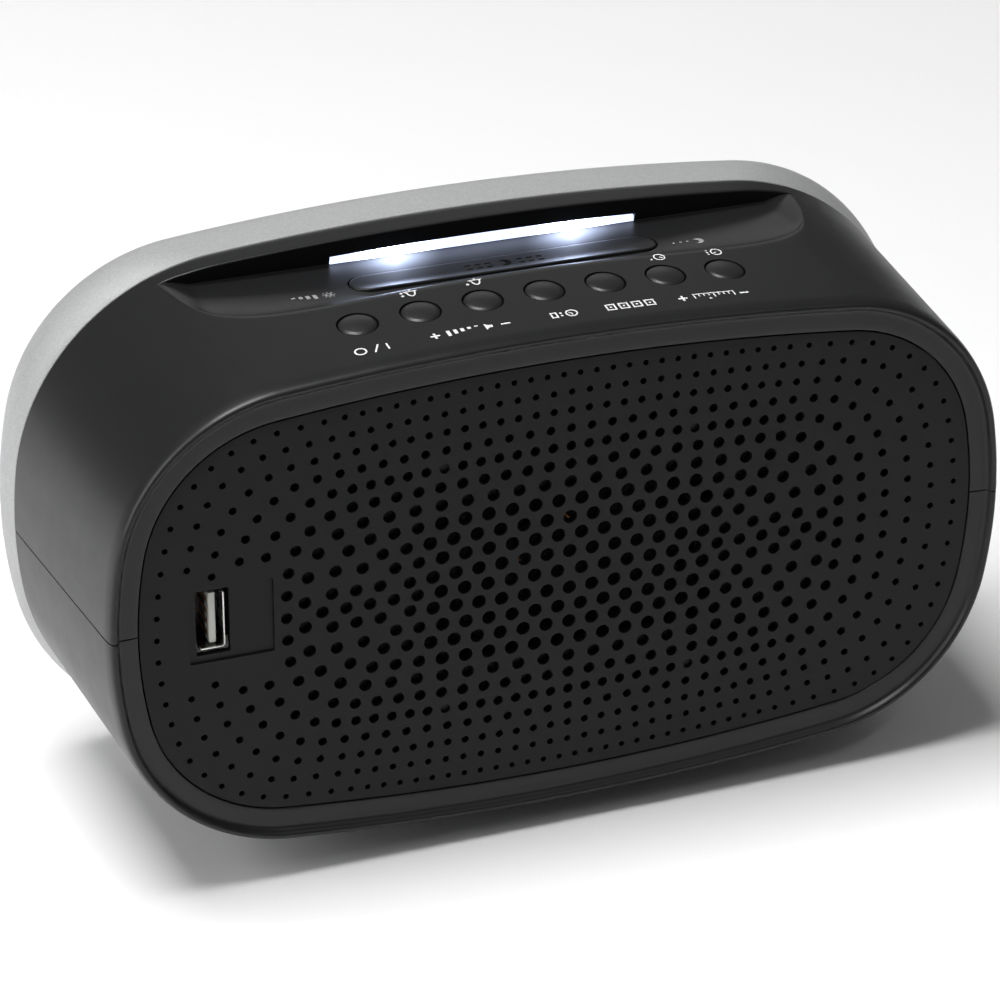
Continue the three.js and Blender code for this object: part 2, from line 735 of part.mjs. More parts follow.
// ---- Button board: a switch under every stem, each with a round well that the stem sinks into ----
const switchPlaces = buttons.map(({ x }) => ({ x, depth: buttonDepth }));
for (const side of [-1, 1]) switchPlaces.push({ x: snooze.switchAt * side, depth: snooze.depth });
const boardTop = board.buttonRise + board.thickness;
let buttonBoard = block(-51, 51, 8, 44, board.buttonRise, boardTop);
for (const { x, depth } of switchPlaces) {
  const body = block(x - 3, x + 3, depth - 3, depth + 3, boardTop - 0.2, switchTopRise);
  buttonBoard = buttonBoard.add(body).subtract(rodUp(2.05, x, depth, 45.1, switchTopRise + 1, stemSides));
}
for (const side of [-1, 1]) {
  const hole = rodUp(1.5, boardScrewX * side, boardScrewDepth, 40, 47, bossSides);
  buttonBoard = buttonBoard.subtract(hole);
}
addPiece("button_board", buttonBoard, boardGreen);
[-1, 1].forEach((side, index) => {
  const head = rodUp(2.2, boardScrewX * side, boardScrewDepth, 41.1, board.buttonRise - gap, 12);
  const shank = rodUp(1, boardScrewX * side, boardScrewDepth, 42, 49.8, 8);
  addPiece(`board_screw_${index + 1}`, joined(head, shank), steel);
});

// ---- Main board, tuner can, power inlet ----
const mainTop = board.mainRise + board.thickness;
const mainBoard = block(-54, 54, 8, 50, board.mainRise, mainTop);
const mainChips = [
  block(-36, -24, 16, 28, mainTop - 0.2, mainTop + 2.2),
  block(-12, 6, 34, 44, mainTop - 0.2, mainTop + 1.8),
  rodUp(5, 44, 20, mainTop - 0.2, mainTop + 13, bossSides),
  rodUp(4, 44, 36, mainTop - 0.2, mainTop + 11, bossSides),
  block(-50, -42, 12, 26, mainTop - 0.2, mainTop + 6),
];
addPiece("main_board", joined(mainBoard, ...mainChips), boardGreen);
const tunerCan = block(14, 36, 34, 48, mainTop + gap, mainTop + 6.5);
addPiece("tuner_shield", tunerCan, plated);

const inletBody = block(
  inlet.x - 4.6,
  inlet.x + 9.4,
  inlet.depth - 4.5,
  inlet.depth + 4.5,
  inlet.rise - 5.4,
  inlet.rise + 5.4,
);
const inletBore = new THREE.CylinderGeometry(3.1, 3.1, 18, bossSides);
inletBore.rotateZ(Math.PI / 2);
inletBore.translate(inlet.x - 4.6, atDepth(inlet.depth), atRise(inlet.rise));
const inletPin = new THREE.CylinderGeometry(1, 1, 11, 10);
inletPin.rotateZ(Math.PI / 2);
inletPin.translate(inlet.x + 1.2, atDepth(inlet.depth), atRise(inlet.rise));
addPiece("power_inlet", inletBody.subtract(toSolid(inletBore)).add(toSolid(inletPin)), ferrite);
const inletBoard = block(inlet.x - 1, inlet.x + 14, 14, 36, inlet.rise - 7.3, inlet.rise - 5.7);
addPiece("inlet_board", inletBoard, boardGreen);

// ---- Battery contacts ----
const contactSheet = 0.5;
const contactGap = 0.3;
const bridgeX = bay.halfWidth - contactGap - contactSheet;
const contactRise = bay.topRise - 0.4;
const contactHeight = 9.6;
const contactFoot = contactRise - contactHeight;
const bridge = block(bridgeX, bridgeX + contactSheet, bay.near + 1, bay.far - 1, contactFoot, contactRise);
addPiece("battery_bridge", bridge, plated);
[
  { name: "battery_contact_plus", near: bay.near + 1, far: 24 },
  { name: "battery_contact_minus", near: 26, far: bay.far - 1 },
].forEach(({ name, near, far }) => {
  const sheet = block(-bridgeX - contactSheet, -bridgeX, near, far, contactFoot, contactRise);
  const middle = (near + far) / 2;
  const nub = block(
    -bridgeX - 0.2,
    -bridgeX + 0.9,
    middle - 2,
    middle + 2,
    contactRise - 6.8,
    contactRise - 2.8,
  );
  addPiece(name, joined(sheet, nub), plated);
});

// ---- Display ----
const displayRise = 4;
addPiece("display_module", block(-58, 58, 60.4, 65, displayRise - 21, displayRise + 21), displayFace);
const displayBoard = block(-62, 62, 58.5, 60.1, displayRise - 26, displayRise + 26);
const driverChip = block(-12, 12, 56.9, 58.7, displayRise - 16, displayRise - 4);
addPiece("display_board", joined(displayBoard, driverChip), boardGreen);

// ---- Loudspeaker, facing the grille ----
const speakerSides = 20;
const flangeNear = 4.3;
const flangeFar = 5.7;
addPiece(
  "speaker_gasket",
  turned([
    [29.2, grilleThickness + gap],
    [32.2, grilleThickness + gap],
    [32.2, flangeNear - gap],
    [29.2, flangeNear - gap],
    [29.2, grilleThickness + gap],
  ], speakerSides),
  softRubber,
);
const flangeShape = new THREE.Shape();
const flangeCorner = 5;
const flangeStraight = speaker.flangeHalf - flangeCorner;
for (let quarter = 0; quarter < 4; quarter++) {
  const from = (quarter * Math.PI) / 2;
  const signX = quarter === 0 || quarter === 3 ? 1 : -1;
  const signY = quarter < 2 ? 1 : -1;
  flangeShape.absarc(
    signX * flangeStraight,
    signY * flangeStraight,
    flangeCorner,
    from,
    from + Math.PI / 2,
  );
}
flangeShape.closePath();
const flangeGeometry = new THREE.ExtrudeGeometry(flangeShape, {
  depth: flangeFar - flangeNear,
  bevelEnabled: false,
  curveSegments: 4,
});
flangeGeometry.rotateX(Math.PI / 2);
flangeGeometry.translate(0, atDepth(flangeNear), grilleCentreHeight);
const basketWall = turned([
  [29.2, flangeNear + 0.1],
  [30.6, flangeNear + 0.1],
  [30.6, 8],
  [21, 19.4],
  [8.2, 19.4],
  [8.2, 18.2],
  [20.2, 18.2],
  [29.2, 7.6],
  [29.2, flangeNear + 0.1],
], speakerSides);
let speakerFrame = toSolid(flangeGeometry)
  .subtract(rodBack(29.2, 0, 0, 0, 10, speakerSides))
  .add(basketWall);
// Two crossed slots leave four windows in the basket's wall.
for (const turn of [0, Math.PI / 2]) {
  const slot = new THREE.BoxGeometry(17, 8.4, 80);
  slot.rotateY(turn);
  slot.translate(0, atDepth(13.4), grilleCentreHeight);
  speakerFrame = speakerFrame.subtract(toSolid(slot));
}
for (const sideX of [-1, 1]) {
  for (const sideZ of [-1, 1]) {
    const hole = rodBack(1.5, speaker.screwAt * sideX, speaker.screwAt * sideZ, 0, 10, 10);
    speakerFrame = speakerFrame.subtract(hole);
  }
}
addPiece("speaker_frame", speakerFrame, steel);

let screwNumber = 1;
for (const sideX of [-1, 1]) {
  for (const sideZ of [-1, 1]) {
    const x = speaker.screwAt * sideX;
    const rise = speaker.screwAt * sideZ;
    const head = rodBack(2.3, x, rise, flangeFar + gap, flangeFar + 2, 12);
    const shank = rodBack(1, x, rise, 1.3, flangeFar + 0.5, 8);
    addPiece(`speaker_screw_${screwNumber}`, joined(head, shank), steel);
    screwNumber += 1;
  }
}

const magnet = turned([
  [0, 17],
  [6.2, 17],
  [6.2, 28],
  [7.9, 28],
  [7.9, 19.7],
  [19.5, 19.7],
  [19.5, 23],
  [21.5, 23],
  [21.5, 31],
  [18, 31],
  [18, 33.5],
  [0, 33.5],
], speakerSides);
addPiece("speaker_magnet", magnet, ferrite);

const coneSheet = 0.6;
addPiece(
  "speaker_cone",
  turned([
    [speaker.coneRadius, 6],
    [speaker.coneRadius, 6 + coneSheet],
    [7.9, 14.6],
    [7.2, 14.6],
    [7.2, 14],
    [23, 6],
    [speaker.coneRadius, 6],
  ], speakerSides),
  conePaper,
);
addPiece(
  "dust_cap",
  turned([
    [0, 10.6],
    [3.4, 11],
    [6.6, 12.6],
    [6.4, 13.2],
    [3.2, 11.7],
    [0, 11.3],
  ], speakerSides),
  conePaper,
);
addPiece(
  "voice_coil",
  turned([
    [6.75, 14.95],
    [7.35, 14.95],
    [7.35, 24],
    [6.75, 24],
    [6.75, 14.95],
  ], speakerSides),
  copper,
);
addPiece(
  "speaker_surround",
  turned([
    [24.35, 6.2],
    [25.6, 4.9],
    [27.4, 5.4],
    [28.9, 6.6],
    [28.9, 7.2],
    [27.2, 6.1],
    [25.8, 5.7],
    [24.7, 6.9],
    [24.35, 6.9],
    [24.35, 6.2],
  ], speakerSides),
  softRubber,
);
addPiece(
  "speaker_spider",
  turned([
    [7.75, 16.6],
    [11, 17.3],
    [15, 16.7],
    [19.6, 17.3],
    [19.6, 17.8],
    [15, 17.3],
    [11, 17.8],
    [7.75, 17.1],
    [7.75, 16.6],
  ], speakerSides),
  spiderCloth,
);

// ---- Case screws, driven up from underneath ----
let caseScrewNumber = 1;
for (const { x, depth } of caseScrews) {
  for (const side of [-1, 1]) {
    const shoulder = partingRise - 6;
    const head = rodUp(2.7, x * side, depth, shoulder - 2.5, shoulder - gap, 12);
    const shank = rodUp(1.2, x * side, depth, shoulder - 0.5, partingRise + 9, 8);
    addPiece(`case_screw_${caseScrewNumber}`, joined(head, shank), steel);
    caseScrewNumber += 1;
  }
}

export default part;
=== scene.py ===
import json
import math

import bmesh
import bpy
import numpy as np
from mathutils import Matrix, Vector
from mathutils.geometry import delaunay_2d_cdt


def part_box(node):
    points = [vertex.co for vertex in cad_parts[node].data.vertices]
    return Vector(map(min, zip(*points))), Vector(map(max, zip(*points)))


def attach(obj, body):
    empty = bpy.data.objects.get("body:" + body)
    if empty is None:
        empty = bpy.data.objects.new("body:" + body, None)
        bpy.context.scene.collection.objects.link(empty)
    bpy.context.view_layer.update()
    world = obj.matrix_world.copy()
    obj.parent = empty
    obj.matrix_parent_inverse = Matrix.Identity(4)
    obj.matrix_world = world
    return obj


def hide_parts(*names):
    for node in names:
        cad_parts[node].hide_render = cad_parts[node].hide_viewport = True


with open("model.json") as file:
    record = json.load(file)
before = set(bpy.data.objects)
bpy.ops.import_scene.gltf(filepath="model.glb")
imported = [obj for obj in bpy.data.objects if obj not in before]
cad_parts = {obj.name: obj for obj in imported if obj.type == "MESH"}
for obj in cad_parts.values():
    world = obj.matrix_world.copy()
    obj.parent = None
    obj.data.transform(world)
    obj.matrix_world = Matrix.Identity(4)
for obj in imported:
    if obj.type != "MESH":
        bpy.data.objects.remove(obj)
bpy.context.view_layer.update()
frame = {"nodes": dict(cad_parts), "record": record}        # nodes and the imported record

mm = 0.001

# Everything below is worked out in millimetres: x across, depth forward from the grille's
# outer face, rise up from the grille's centre. place() turns that into the row frame.
grilleLow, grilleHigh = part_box("rear_grille")
shellLow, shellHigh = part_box("upper_shell")
bezelLow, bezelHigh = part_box("front_bezel")
windowLow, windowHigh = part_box("front_window")
grilleY = grilleHigh.y / mm
grilleZ = (grilleLow.z + grilleHigh.z) / 2 / mm
jointDepth = grilleY - shellLow.y / mm
frontDepth = grilleY - bezelLow.y / mm


def place(x, depth, rise):
    return (x * mm, (grilleY - depth) * mm, (grilleZ + rise) * mm)


def depthOf(node, side):
    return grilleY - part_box(node)[side].y / mm


def riseOf(node, side):
    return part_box(node)[side].z / mm - grilleZ


def middleX(node):
    low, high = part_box(node)
    return (low.x + high.x) / 2 / mm


camera = {
    "offset": (0.2589, 0.6280, 0.3547),      # from the middle of the grille's face
    "right": (-0.93316, 0.35943, 0.00422),
    "up": (-0.15696, -0.41803, 0.89477),
    "back": (0.32337, 0.83430, 0.44651),
    "lens": 133.7,
}


def makeCamera(settings):
    data = bpy.data.cameras.new("viewCamera")
    data.lens = settings["lens"]
    data.sensor_width = 36
    data.clip_start = 0.01
    data.clip_end = 20
    cam = bpy.data.objects.new("viewCamera", data)
    bpy.context.scene.collection.objects.link(cam)
    turn = Matrix((settings["right"], settings["up"], settings["back"])).transposed().to_4x4()
    home = Vector(place(0, 0, 0)) + Vector(settings["offset"])
    cam.matrix_world = Matrix.Translation(home) @ turn
    bpy.context.scene.camera = cam


makeCamera(camera)
print("camera placed")


class Finish:      # short calls for the nodes that the materials use
    def __init__(self, name):
        self.material = bpy.data.materials.new(name)
        self.material.use_nodes = True
        self.tree = self.material.node_tree
        self.shader = self.tree.nodes["Principled BSDF"]
        self.coords = self.tree.nodes.new("ShaderNodeTexCoord").outputs["Object"]

    def node(self, kind, **values):
        made = self.tree.nodes.new(kind)
        for key, value in values.items():
            if hasattr(made, key):
                setattr(made, key, value)
            else:
                made.inputs[key.replace("_", " ")].default_value = value
        return made

    def link(self, output, socket):
        self.tree.links.new(output, socket)

    def feed(self, socket, value):
        if isinstance(value, bpy.types.NodeSocket):
            self.link(value, socket)
        elif isinstance(value, tuple) and len(value) == 3:
            socket.default_value = (*value, 1)
        else:
            socket.default_value = value

    def calculate(self, operation, *values):
        made = self.node("ShaderNodeMath", operation=operation)
        for socket, value in zip(made.inputs, values):
            self.feed(socket, value)
        return made.outputs[0]

    def noise(self, scale, detail=3.0, roughness=0.5, distortion=0.0):
        made = self.node("ShaderNodeTexNoise", Scale=scale, Detail=detail,
                         Roughness=roughness, Distortion=distortion)
        self.link(self.coords, made.inputs["Vector"])
        return made.outputs["Fac"]

    def ramp(self, value, low, high, fromLow=0.35, fromHigh=0.65):
        made = self.node("ShaderNodeMapRange")
        made.inputs["From Min"].default_value = fromLow
        made.inputs["From Max"].default_value = fromHigh
        made.inputs["To Min"].default_value = low
        made.inputs["To Max"].default_value = high
        self.link(value, made.inputs["Value"])
        return made.outputs["Result"]

    def mix(self, factor, first, second):
        made = self.node("ShaderNodeMix", data_type="RGBA")
        self.link(factor, made.inputs["Factor"])
        self.feed(made.inputs[6], first)       # the colour sockets of a mix node
        self.feed(made.inputs[7], second)
        return made.outputs[2]

    def bump(self, height, strength, distance):
        made = self.node("ShaderNodeBump", Strength=strength, Distance=distance)
        self.link(height, made.inputs["Height"])
        self.link(made.outputs["Normal"], self.shader.inputs["Normal"])

    def set(self, **values):
        for key, value in values.items():
            self.feed(self.shader.inputs[key.replace("_", " ")], value)


def mouldedPlastic(name, dark, light, gloss, grain=2600, grainDepth=0.00002, grainStrength=0.25,
                   specular=0.3):
    finish = Finish(name)
    cloud = finish.noise(14, 2)
    finish.set(Base_Color=finish.mix(finish.ramp(cloud, 0, 1), dark, light))
    finish.set(Roughness=finish.ramp(finish.noise(160, 4, 0.6), gloss - 0.03, gloss + 0.03, 0.2, 0.8))
    finish.bump(finish.noise(grain, 2, 0.6), grainStrength, grainDepth)
    finish.set(Specular_IOR_Level=specular)
    return finish.material


def metallicPaint(name, settings):
    finish = Finish(name)
    flakes = finish.node("ShaderNodeTexVoronoi", Scale=settings["flakeScale"])
    finish.link(finish.coords, flakes.inputs["Vector"])
    sparkle = finish.node("ShaderNodeSeparateColor")
    finish.link(flakes.outputs["Color"], sparkle.inputs["Color"])
    cloud = finish.ramp(finish.noise(14, 2), 0, 1)
    flat = finish.mix(cloud, settings["dark"], settings["light"])
    glint = finish.mix(finish.ramp(sparkle.outputs[0], 0.0, 0.30, 0.4, 1.0), flat, settings["glint"])
    finish.set(Base_Color=glint)
    gloss = settings["gloss"]
    finish.set(Roughness=finish.ramp(finish.noise(420, 3), gloss - 0.04, gloss + 0.05))
    finish.bump(flakes.outputs["Distance"], 0.12, 0.00002)
    finish.set(Metallic=0.35, Coat_Weight=0.1, Coat_Roughness=0.4)
    return finish.material


def metalSheet(name, dark, light, gloss, scale=900):
    finish = Finish(name)
    stretch = finish.node("ShaderNodeMapping")
    stretch.inputs["Scale"].default_value = (1, 1, 0.06)
    finish.link(finish.coords, stretch.inputs["Vector"])
    lines = finish.node("ShaderNodeTexNoise", Scale=scale, Detail=3.0)
    finish.link(stretch.outputs["Vector"], lines.inputs["Vector"])
    finish.set(Base_Color=finish.mix(finish.ramp(lines.outputs["Fac"], 0, 1), dark, light))
    finish.set(Roughness=finish.ramp(finish.noise(300, 3), gloss - 0.05, gloss + 0.08))
    finish.bump(lines.outputs["Fac"], 0.1, 0.00001)
    finish.set(Metallic=1.0)
    return finish.material


def circuitBoard(name):
    finish = Finish(name)
    tracks = finish.node("ShaderNodeTexBrick", Scale=180.0)
    tracks.inputs["Mortar Size"].default_value = 0.03
    finish.link(finish.coords, tracks.inputs["Vector"])
    copper = finish.ramp(tracks.outputs["Fac"], 0, 1, 0, 1)
    cloud = finish.ramp(finish.noise(40, 3), 0, 1)
    mask = finish.mix(cloud, (0.008, 0.07, 0.028), (0.012, 0.1, 0.04))
    finish.set(Base_Color=finish.mix(copper, mask, (0.03, 0.17, 0.07)))
    finish.set(Roughness=finish.ramp(finish.noise(300, 2), 0.3, 0.45))
    finish.bump(tracks.outputs["Fac"], 0.2, 0.00003)
    return finish.material


def wovenCloth(name, dark, light):
    finish = Finish(name)
    weave = finish.node("ShaderNodeTexWave", Scale=700.0, Distortion=0.4)
    finish.link(finish.coords, weave.inputs["Vector"])
    finish.set(Base_Color=finish.mix(weave.outputs["Fac"], dark, light))
    finish.set(Roughness=finish.ramp(finish.noise(500, 2), 0.75, 0.92))
    finish.bump(weave.outputs["Fac"], 0.3, 0.00005)
    return finish.material


silver = {
    "dark": (0.37, 0.373, 0.376),
    "light": (0.40, 0.403, 0.406),
    "glint": (0.62, 0.623, 0.626),
    "flakeScale": 4200,
    "gloss": 0.5,
}

cabinetBlack = mouldedPlastic("cabinetBlack", (0.0098, 0.0100, 0.0106), (0.0112, 0.0114, 0.012), 0.36,
                              specular=0.34)
grilleBlack = mouldedPlastic("grilleBlack", (0.0078, 0.0079, 0.0082), (0.009, 0.0091, 0.0094), 0.5,
                             grain=3200, grainStrength=0.3, specular=0.2)
keyBlack = mouldedPlastic("keyBlack", (0.0105, 0.0107, 0.0115), (0.012, 0.0122, 0.013), 0.38, grain=3600,
                          grainStrength=0.1, specular=0.4)
keyGlossy = mouldedPlastic("keyGlossy", (0.003, 0.003, 0.0035), (0.0045, 0.0045, 0.005), 0.2, grain=3600,
                           grainStrength=0.1, specular=0.5)
# painted shade: the speaker frame gets near-black steel so it stays dark behind the grille's through holes,
# standing in for the shade inside the cabinet
paintedShadeSteel = mouldedPlastic("paintedShadeSteel", (0.004, 0.004, 0.004), (0.007, 0.007, 0.007), 0.6,
                            specular=0.15)
rubberBlack = mouldedPlastic("rubberBlack", (0.012, 0.012, 0.012), (0.02, 0.02, 0.02), 0.8, grain=1500,
                             grainStrength=0.5)
silverPaint = metallicPaint("silverPaint", silver)
nickelSheet = metalSheet("nickelSheet", (0.55, 0.54, 0.52), (0.74, 0.73, 0.71), 0.24)
zincSteel = metalSheet("zincSteel", (0.36, 0.37, 0.38), (0.5, 0.51, 0.52), 0.36)
copperWire = metalSheet("copperWire", (0.55, 0.22, 0.1), (0.75, 0.36, 0.18), 0.35, scale=2400)
boardGreen = circuitBoard("boardGreen")
conePaper = mouldedPlastic("conePaper", (0.012, 0.012, 0.011), (0.03, 0.029, 0.027), 0.85, grain=700,
                           grainDepth=0.0001, grainStrength=0.6)
spiderCloth = wovenCloth("spiderCloth", (0.34, 0.2, 0.08), (0.55, 0.34, 0.15))
ferriteGrey = mouldedPlastic("ferriteGrey", (0.02, 0.02, 0.022), (0.045, 0.045, 0.05), 0.6, grain=900,
                             grainDepth=0.00006, grainStrength=0.5)
nylonWhite = mouldedPlastic("nylonWhite", (0.62, 0.62, 0.58), (0.74, 0.74, 0.7), 0.38, grain=2000,
                            grainStrength=0.1)


def printInk(name, dark, light):
    finish = Finish(name)
    patchy = finish.ramp(finish.noise(2600, 3), 0, 1)
    finish.set(Base_Color=finish.mix(patchy, dark, light))
    finish.set(Roughness=finish.ramp(finish.noise(900, 2), 0.5, 0.65))
    finish.bump(finish.noise(3000, 2), 0.2, 0.00001)
    return finish.material


lamp = {
    "level": 1.75,
    "hotSpots": 24.0,
    "spotAt": 20.0,
    "spotWidth": 12.0,
    "falloff": 2.2,
    "tint": (0.60, 0.70, 1.0),
    "paleTint": (0.63, 0.73, 1.03),
}


def litDiffuser(settings):
    finish = Finish("litDiffuser")
    split = finish.node("ShaderNodeSeparateXYZ")
    finish.link(finish.coords, split.inputs["Vector"])
    away = finish.calculate("ABSOLUTE", split.outputs["X"])
    apart = finish.calculate("ABSOLUTE", finish.calculate("SUBTRACT", away, settings["spotAt"] * mm))
    near = finish.ramp(apart, 1, 0, 0, settings["spotWidth"] * mm)
    peak = finish.calculate("POWER", near, settings["falloff"])
    spot = finish.ramp(peak, settings["level"], settings["level"] + settings["hotSpots"], 0, 1)
    milk = finish.ramp(finish.noise(900, 2), 0, 1)
    finish.set(Base_Color=finish.mix(milk, (0.86, 0.9, 0.95), (0.93, 0.95, 0.98)))
    finish.set(Emission_Color=finish.mix(milk, settings["tint"], settings["paleTint"]))
    finish.set(Emission_Strength=spot)
    finish.set(Roughness=finish.ramp(finish.noise(600, 2), 0.3, 0.4))
    finish.bump(finish.noise(2400, 2), 0.1, 0.00001)
    return finish.material


def smokedAcrylic():
    finish = Finish("smokedAcrylic")
    haze = finish.ramp(finish.noise(35, 3), 0, 1)
    finish.set(Base_Color=finish.mix(haze, (0.012, 0.013, 0.016), (0.018, 0.019, 0.023)))
    finish.set(Roughness=finish.ramp(finish.noise(90, 4), 0.04, 0.09))
    finish.bump(finish.noise(60, 2), 0.03, 0.00002)
    finish.set(Coat_Weight=0.4, Coat_Roughness=0.03, Alpha=0.8)
    return finish.material


def litSegments():
    finish = Finish("litSegments")
    grain = finish.ramp(finish.noise(1400, 2), 0, 1)
    finish.set(Base_Color=finish.mix(grain, (0.8, 0.9, 1.0), (0.9, 0.96, 1.0)))
    finish.set(Emission_Color=finish.mix(grain, (0.75, 0.88, 1.0), (0.85, 0.93, 1.0)))
    finish.set(Emission_Strength=8.0)
    finish.set(Roughness=finish.ramp(finish.noise(600, 2), 0.4, 0.5))
    return finish.material


inkWhite = printInk("printInk", (0.66, 0.66, 0.66), (0.8, 0.8, 0.8))
inkGrey = printInk("printInkDim", (0.24, 0.24, 0.25), (0.34, 0.34, 0.35))
diffuserLit = litDiffuser(lamp)
smokedWindow = smokedAcrylic()
segmentGlow = litSegments()
displayBlack = mouldedPlastic("displayBlack", (0.006, 0.006, 0.007), (0.009, 0.009, 0.01), 0.55)
print("finishes ready")


def newPiece(name, verts, faces, material, body, slotName, sharpAngle):
    mesh = bpy.data.meshes.new(name)
    mesh.from_pydata([place(*v) for v in verts], [], [list(f) for f in faces])
    return finishMesh(name, mesh, material, body, sharpAngle)


def finishMesh(name, mesh, material, body, sharpAngle):
    work = bmesh.new()
    work.from_mesh(mesh)
    bmesh.ops.remove_doubles(work, verts=work.verts, dist=1e-7)
    bmesh.ops.recalc_face_normals(work, faces=work.faces)
    work.to_mesh(mesh)
    work.free()
    mesh.materials.clear()
    mesh.materials.append(material)
    piece = bpy.data.objects.new(name, mesh)
    bpy.context.scene.collection.objects.link(piece)
    mesh.shade_smooth()
    mesh.set_sharp_from_angle(angle=math.radians(sharpAngle))
    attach(piece, body)
    return piece


def circlePoints(x, z, radius, sides):
    angles = [2 * math.pi * i / sides for i in range(sides)]
    return [(x + radius * math.cos(angle), z + radius * math.sin(angle)) for angle in angles]


def atDepth(points, depth):
    return [(x, depth, z) for x, z in points]


def atRise(points, rise):
    return [(x, depth, rise) for x, depth in points]


def stackRings(rings, closeEnds=True, closeLoop=False):      # the ends get a fan from their middle
    count = len(rings[0])
    verts = [tuple(p) for ring in rings for p in ring]
    faces = []
    pairs = len(rings) if closeLoop else len(rings) - 1
    for r in range(pairs):
        a0 = r * count
        b0 = ((r + 1) % len(rings)) * count
        for i in range(count):
            j = (i + 1) % count
            faces.append((a0 + i, b0 + i, b0 + j, a0 + j))
    if closeEnds and not closeLoop:
        for start, ring in ((0, rings[0]), ((len(rings) - 1) * count, rings[-1])):
            middle = tuple(np.mean(np.array(ring), axis=0))
            hub = len(verts)
            verts.append(middle)
            for i in range(count):
                faces.append((hub, start + i, start + (i + 1) % count))
    return verts, faces


def joinShapes(shapes):
    verts, faces = [], []
    for shapeVerts, shapeFaces in shapes:
        start = len(verts)
        verts += list(shapeVerts)
        faces += [tuple(i + start for i in face) for face in shapeFaces]
    return verts, faces


def cutAway(piece, shapes):      # leaves no cutter behind
    verts, faces = joinShapes(shapes)
    mesh = bpy.data.meshes.new("cutter")
    mesh.from_pydata([place(*v) for v in verts], [], faces)
    work = bmesh.new()
    work.from_mesh(mesh)
    bmesh.ops.recalc_face_normals(work, faces=work.faces)
    work.to_mesh(mesh)
    work.free()
    cutter = bpy.data.objects.new("cutter", mesh)
    bpy.context.scene.collection.objects.link(cutter)
    step = piece.modifiers.new("cut", "BOOLEAN")
    step.operation = "DIFFERENCE"
    step.solver = "EXACT"
    step.object = cutter
    bpy.context.view_layer.update()
    cut = bpy.data.meshes.new_from_object(piece.evaluated_get(bpy.context.evaluated_depsgraph_get()))
    piece.modifiers.clear()
    old = piece.data
    cut.name = old.name
    piece.data = cut
    bpy.data.meshes.remove(old)
    bpy.data.objects.remove(cutter)
    bpy.data.meshes.remove(mesh)


cabinet = {
    "grille": dict(across=92.0, up=47.3, rise=0.0, crown=560, side=94.6, corner=31.8),
    "rim": dict(across=98.55, up=54.4, rise=0.0, crown=627, side=106, corner=40),
    "joint": dict(across=103.3, up=58.5, rise=2.1, crown=605, side=102, corner=49),
    "bezel": dict(across=103.7, up=59.0, rise=1.95, crown=595, side=107, corner=42.5),
    "window": dict(across=93.6, up=48.9, rise=1.95, crown=585, side=97, corner=33),
    "wall": 2.2,
    "parting": 1.6,
    "partingGap": 0.16,
}
# The overall sizes come from the frame.
cabinet["grille"]["across"] = grilleHigh.x / mm
cabinet["grille"]["up"] = (grilleHigh.z - grilleLow.z) / 2 / mm
cabinet["joint"]["across"] = shellHigh.x / mm
cabinet["bezel"]["across"] = bezelHigh.x / mm
cabinet["bezel"]["up"] = (bezelHigh.z - bezelLow.z) / 2 / mm
cabinet["bezel"]["rise"] = (bezelHigh.z + bezelLow.z) / 2 / mm - grilleZ
cabinet["window"]["across"] = windowHigh.x / mm - 1.8
cabinet["window"]["up"] = (windowHigh.z - windowLow.z) / 2 / mm - 1.8
cabinet["window"]["rise"] = (windowHigh.z + windowLow.z) / 2 / mm - grilleZ


def inset(outline, by):
    keys = ("across", "up", "crown", "side", "corner")
    return {**outline, **{key: outline[key] - by for key in keys}}


def between(first, second, share):
    return {key: first[key] + (second[key] - first[key]) * share for key in first}


def cushionArcs(o):
    crownCentre = np.array([0.0, o["up"] - o["crown"]])
    sideCentre = np.array([o["across"] - o["side"], 0.0])
    toCrown = o["crown"] - o["corner"]
    toSide = o["side"] - o["corner"]
    line = sideCentre - crownCentre
    apart = np.linalg.norm(line)
    along = (toCrown ** 2 - toSide ** 2 + apart ** 2) / (2 * apart)
    aside = math.sqrt(max(toCrown ** 2 - along ** 2, 0.0))
    line = line / apart
    across = np.array([-line[1], line[0]])
    corner = crownCentre + line * along + across * aside
    if corner[0] < 0 or corner[1] < 0:
        corner = crownCentre + line * along - across * aside
    crownEnd = math.atan2(corner[0] - crownCentre[0], corner[1] - crownCentre[1])
    sideStart = math.atan2(corner[0] - sideCentre[0], corner[1] - sideCentre[1])
    return crownCentre, sideCentre, corner, crownEnd, sideStart


def quarterPoints(o, steps):
    crownCentre, sideCentre, corner, crownEnd, sideStart = cushionArcs(o)
    parts = (
        (crownCentre, o["crown"], 0.0, crownEnd, steps[0]),
        (corner, o["corner"], crownEnd, sideStart, steps[1]),
        (sideCentre, o["side"], sideStart, math.pi / 2, steps[2]),
    )
    points = []
    for centre, radius, start, end, count in parts:
        for i in range(count):
            angle = start + (end - start) * i / count
            points.append((centre[0] + radius * math.sin(angle), centre[1] + radius * math.cos(angle)))
    points.append((o["across"], 0.0))
    return np.array(points)


def cushion(o, steps):      # the whole outline, clockwise from the top
    quarter = quarterPoints(o, steps)
    right = quarter
    lower = quarter[-2::-1] * (1, -1)
    left = quarter[1:] * (-1, -1)
    upper = quarter[-2:0:-1] * (-1, 1)
    points = np.vstack([right, lower, left, upper])
    return points + (0, o["rise"])


def cabinetOutline(depth):
    return between(cabinet["rim"], cabinet["joint"], depth / jointDepth)


def topRise(x, depth):
    o = cabinetOutline(depth)
    return o["rise"] + o["up"] - o["crown"] + math.sqrt(o["crown"] ** 2 - x ** 2)


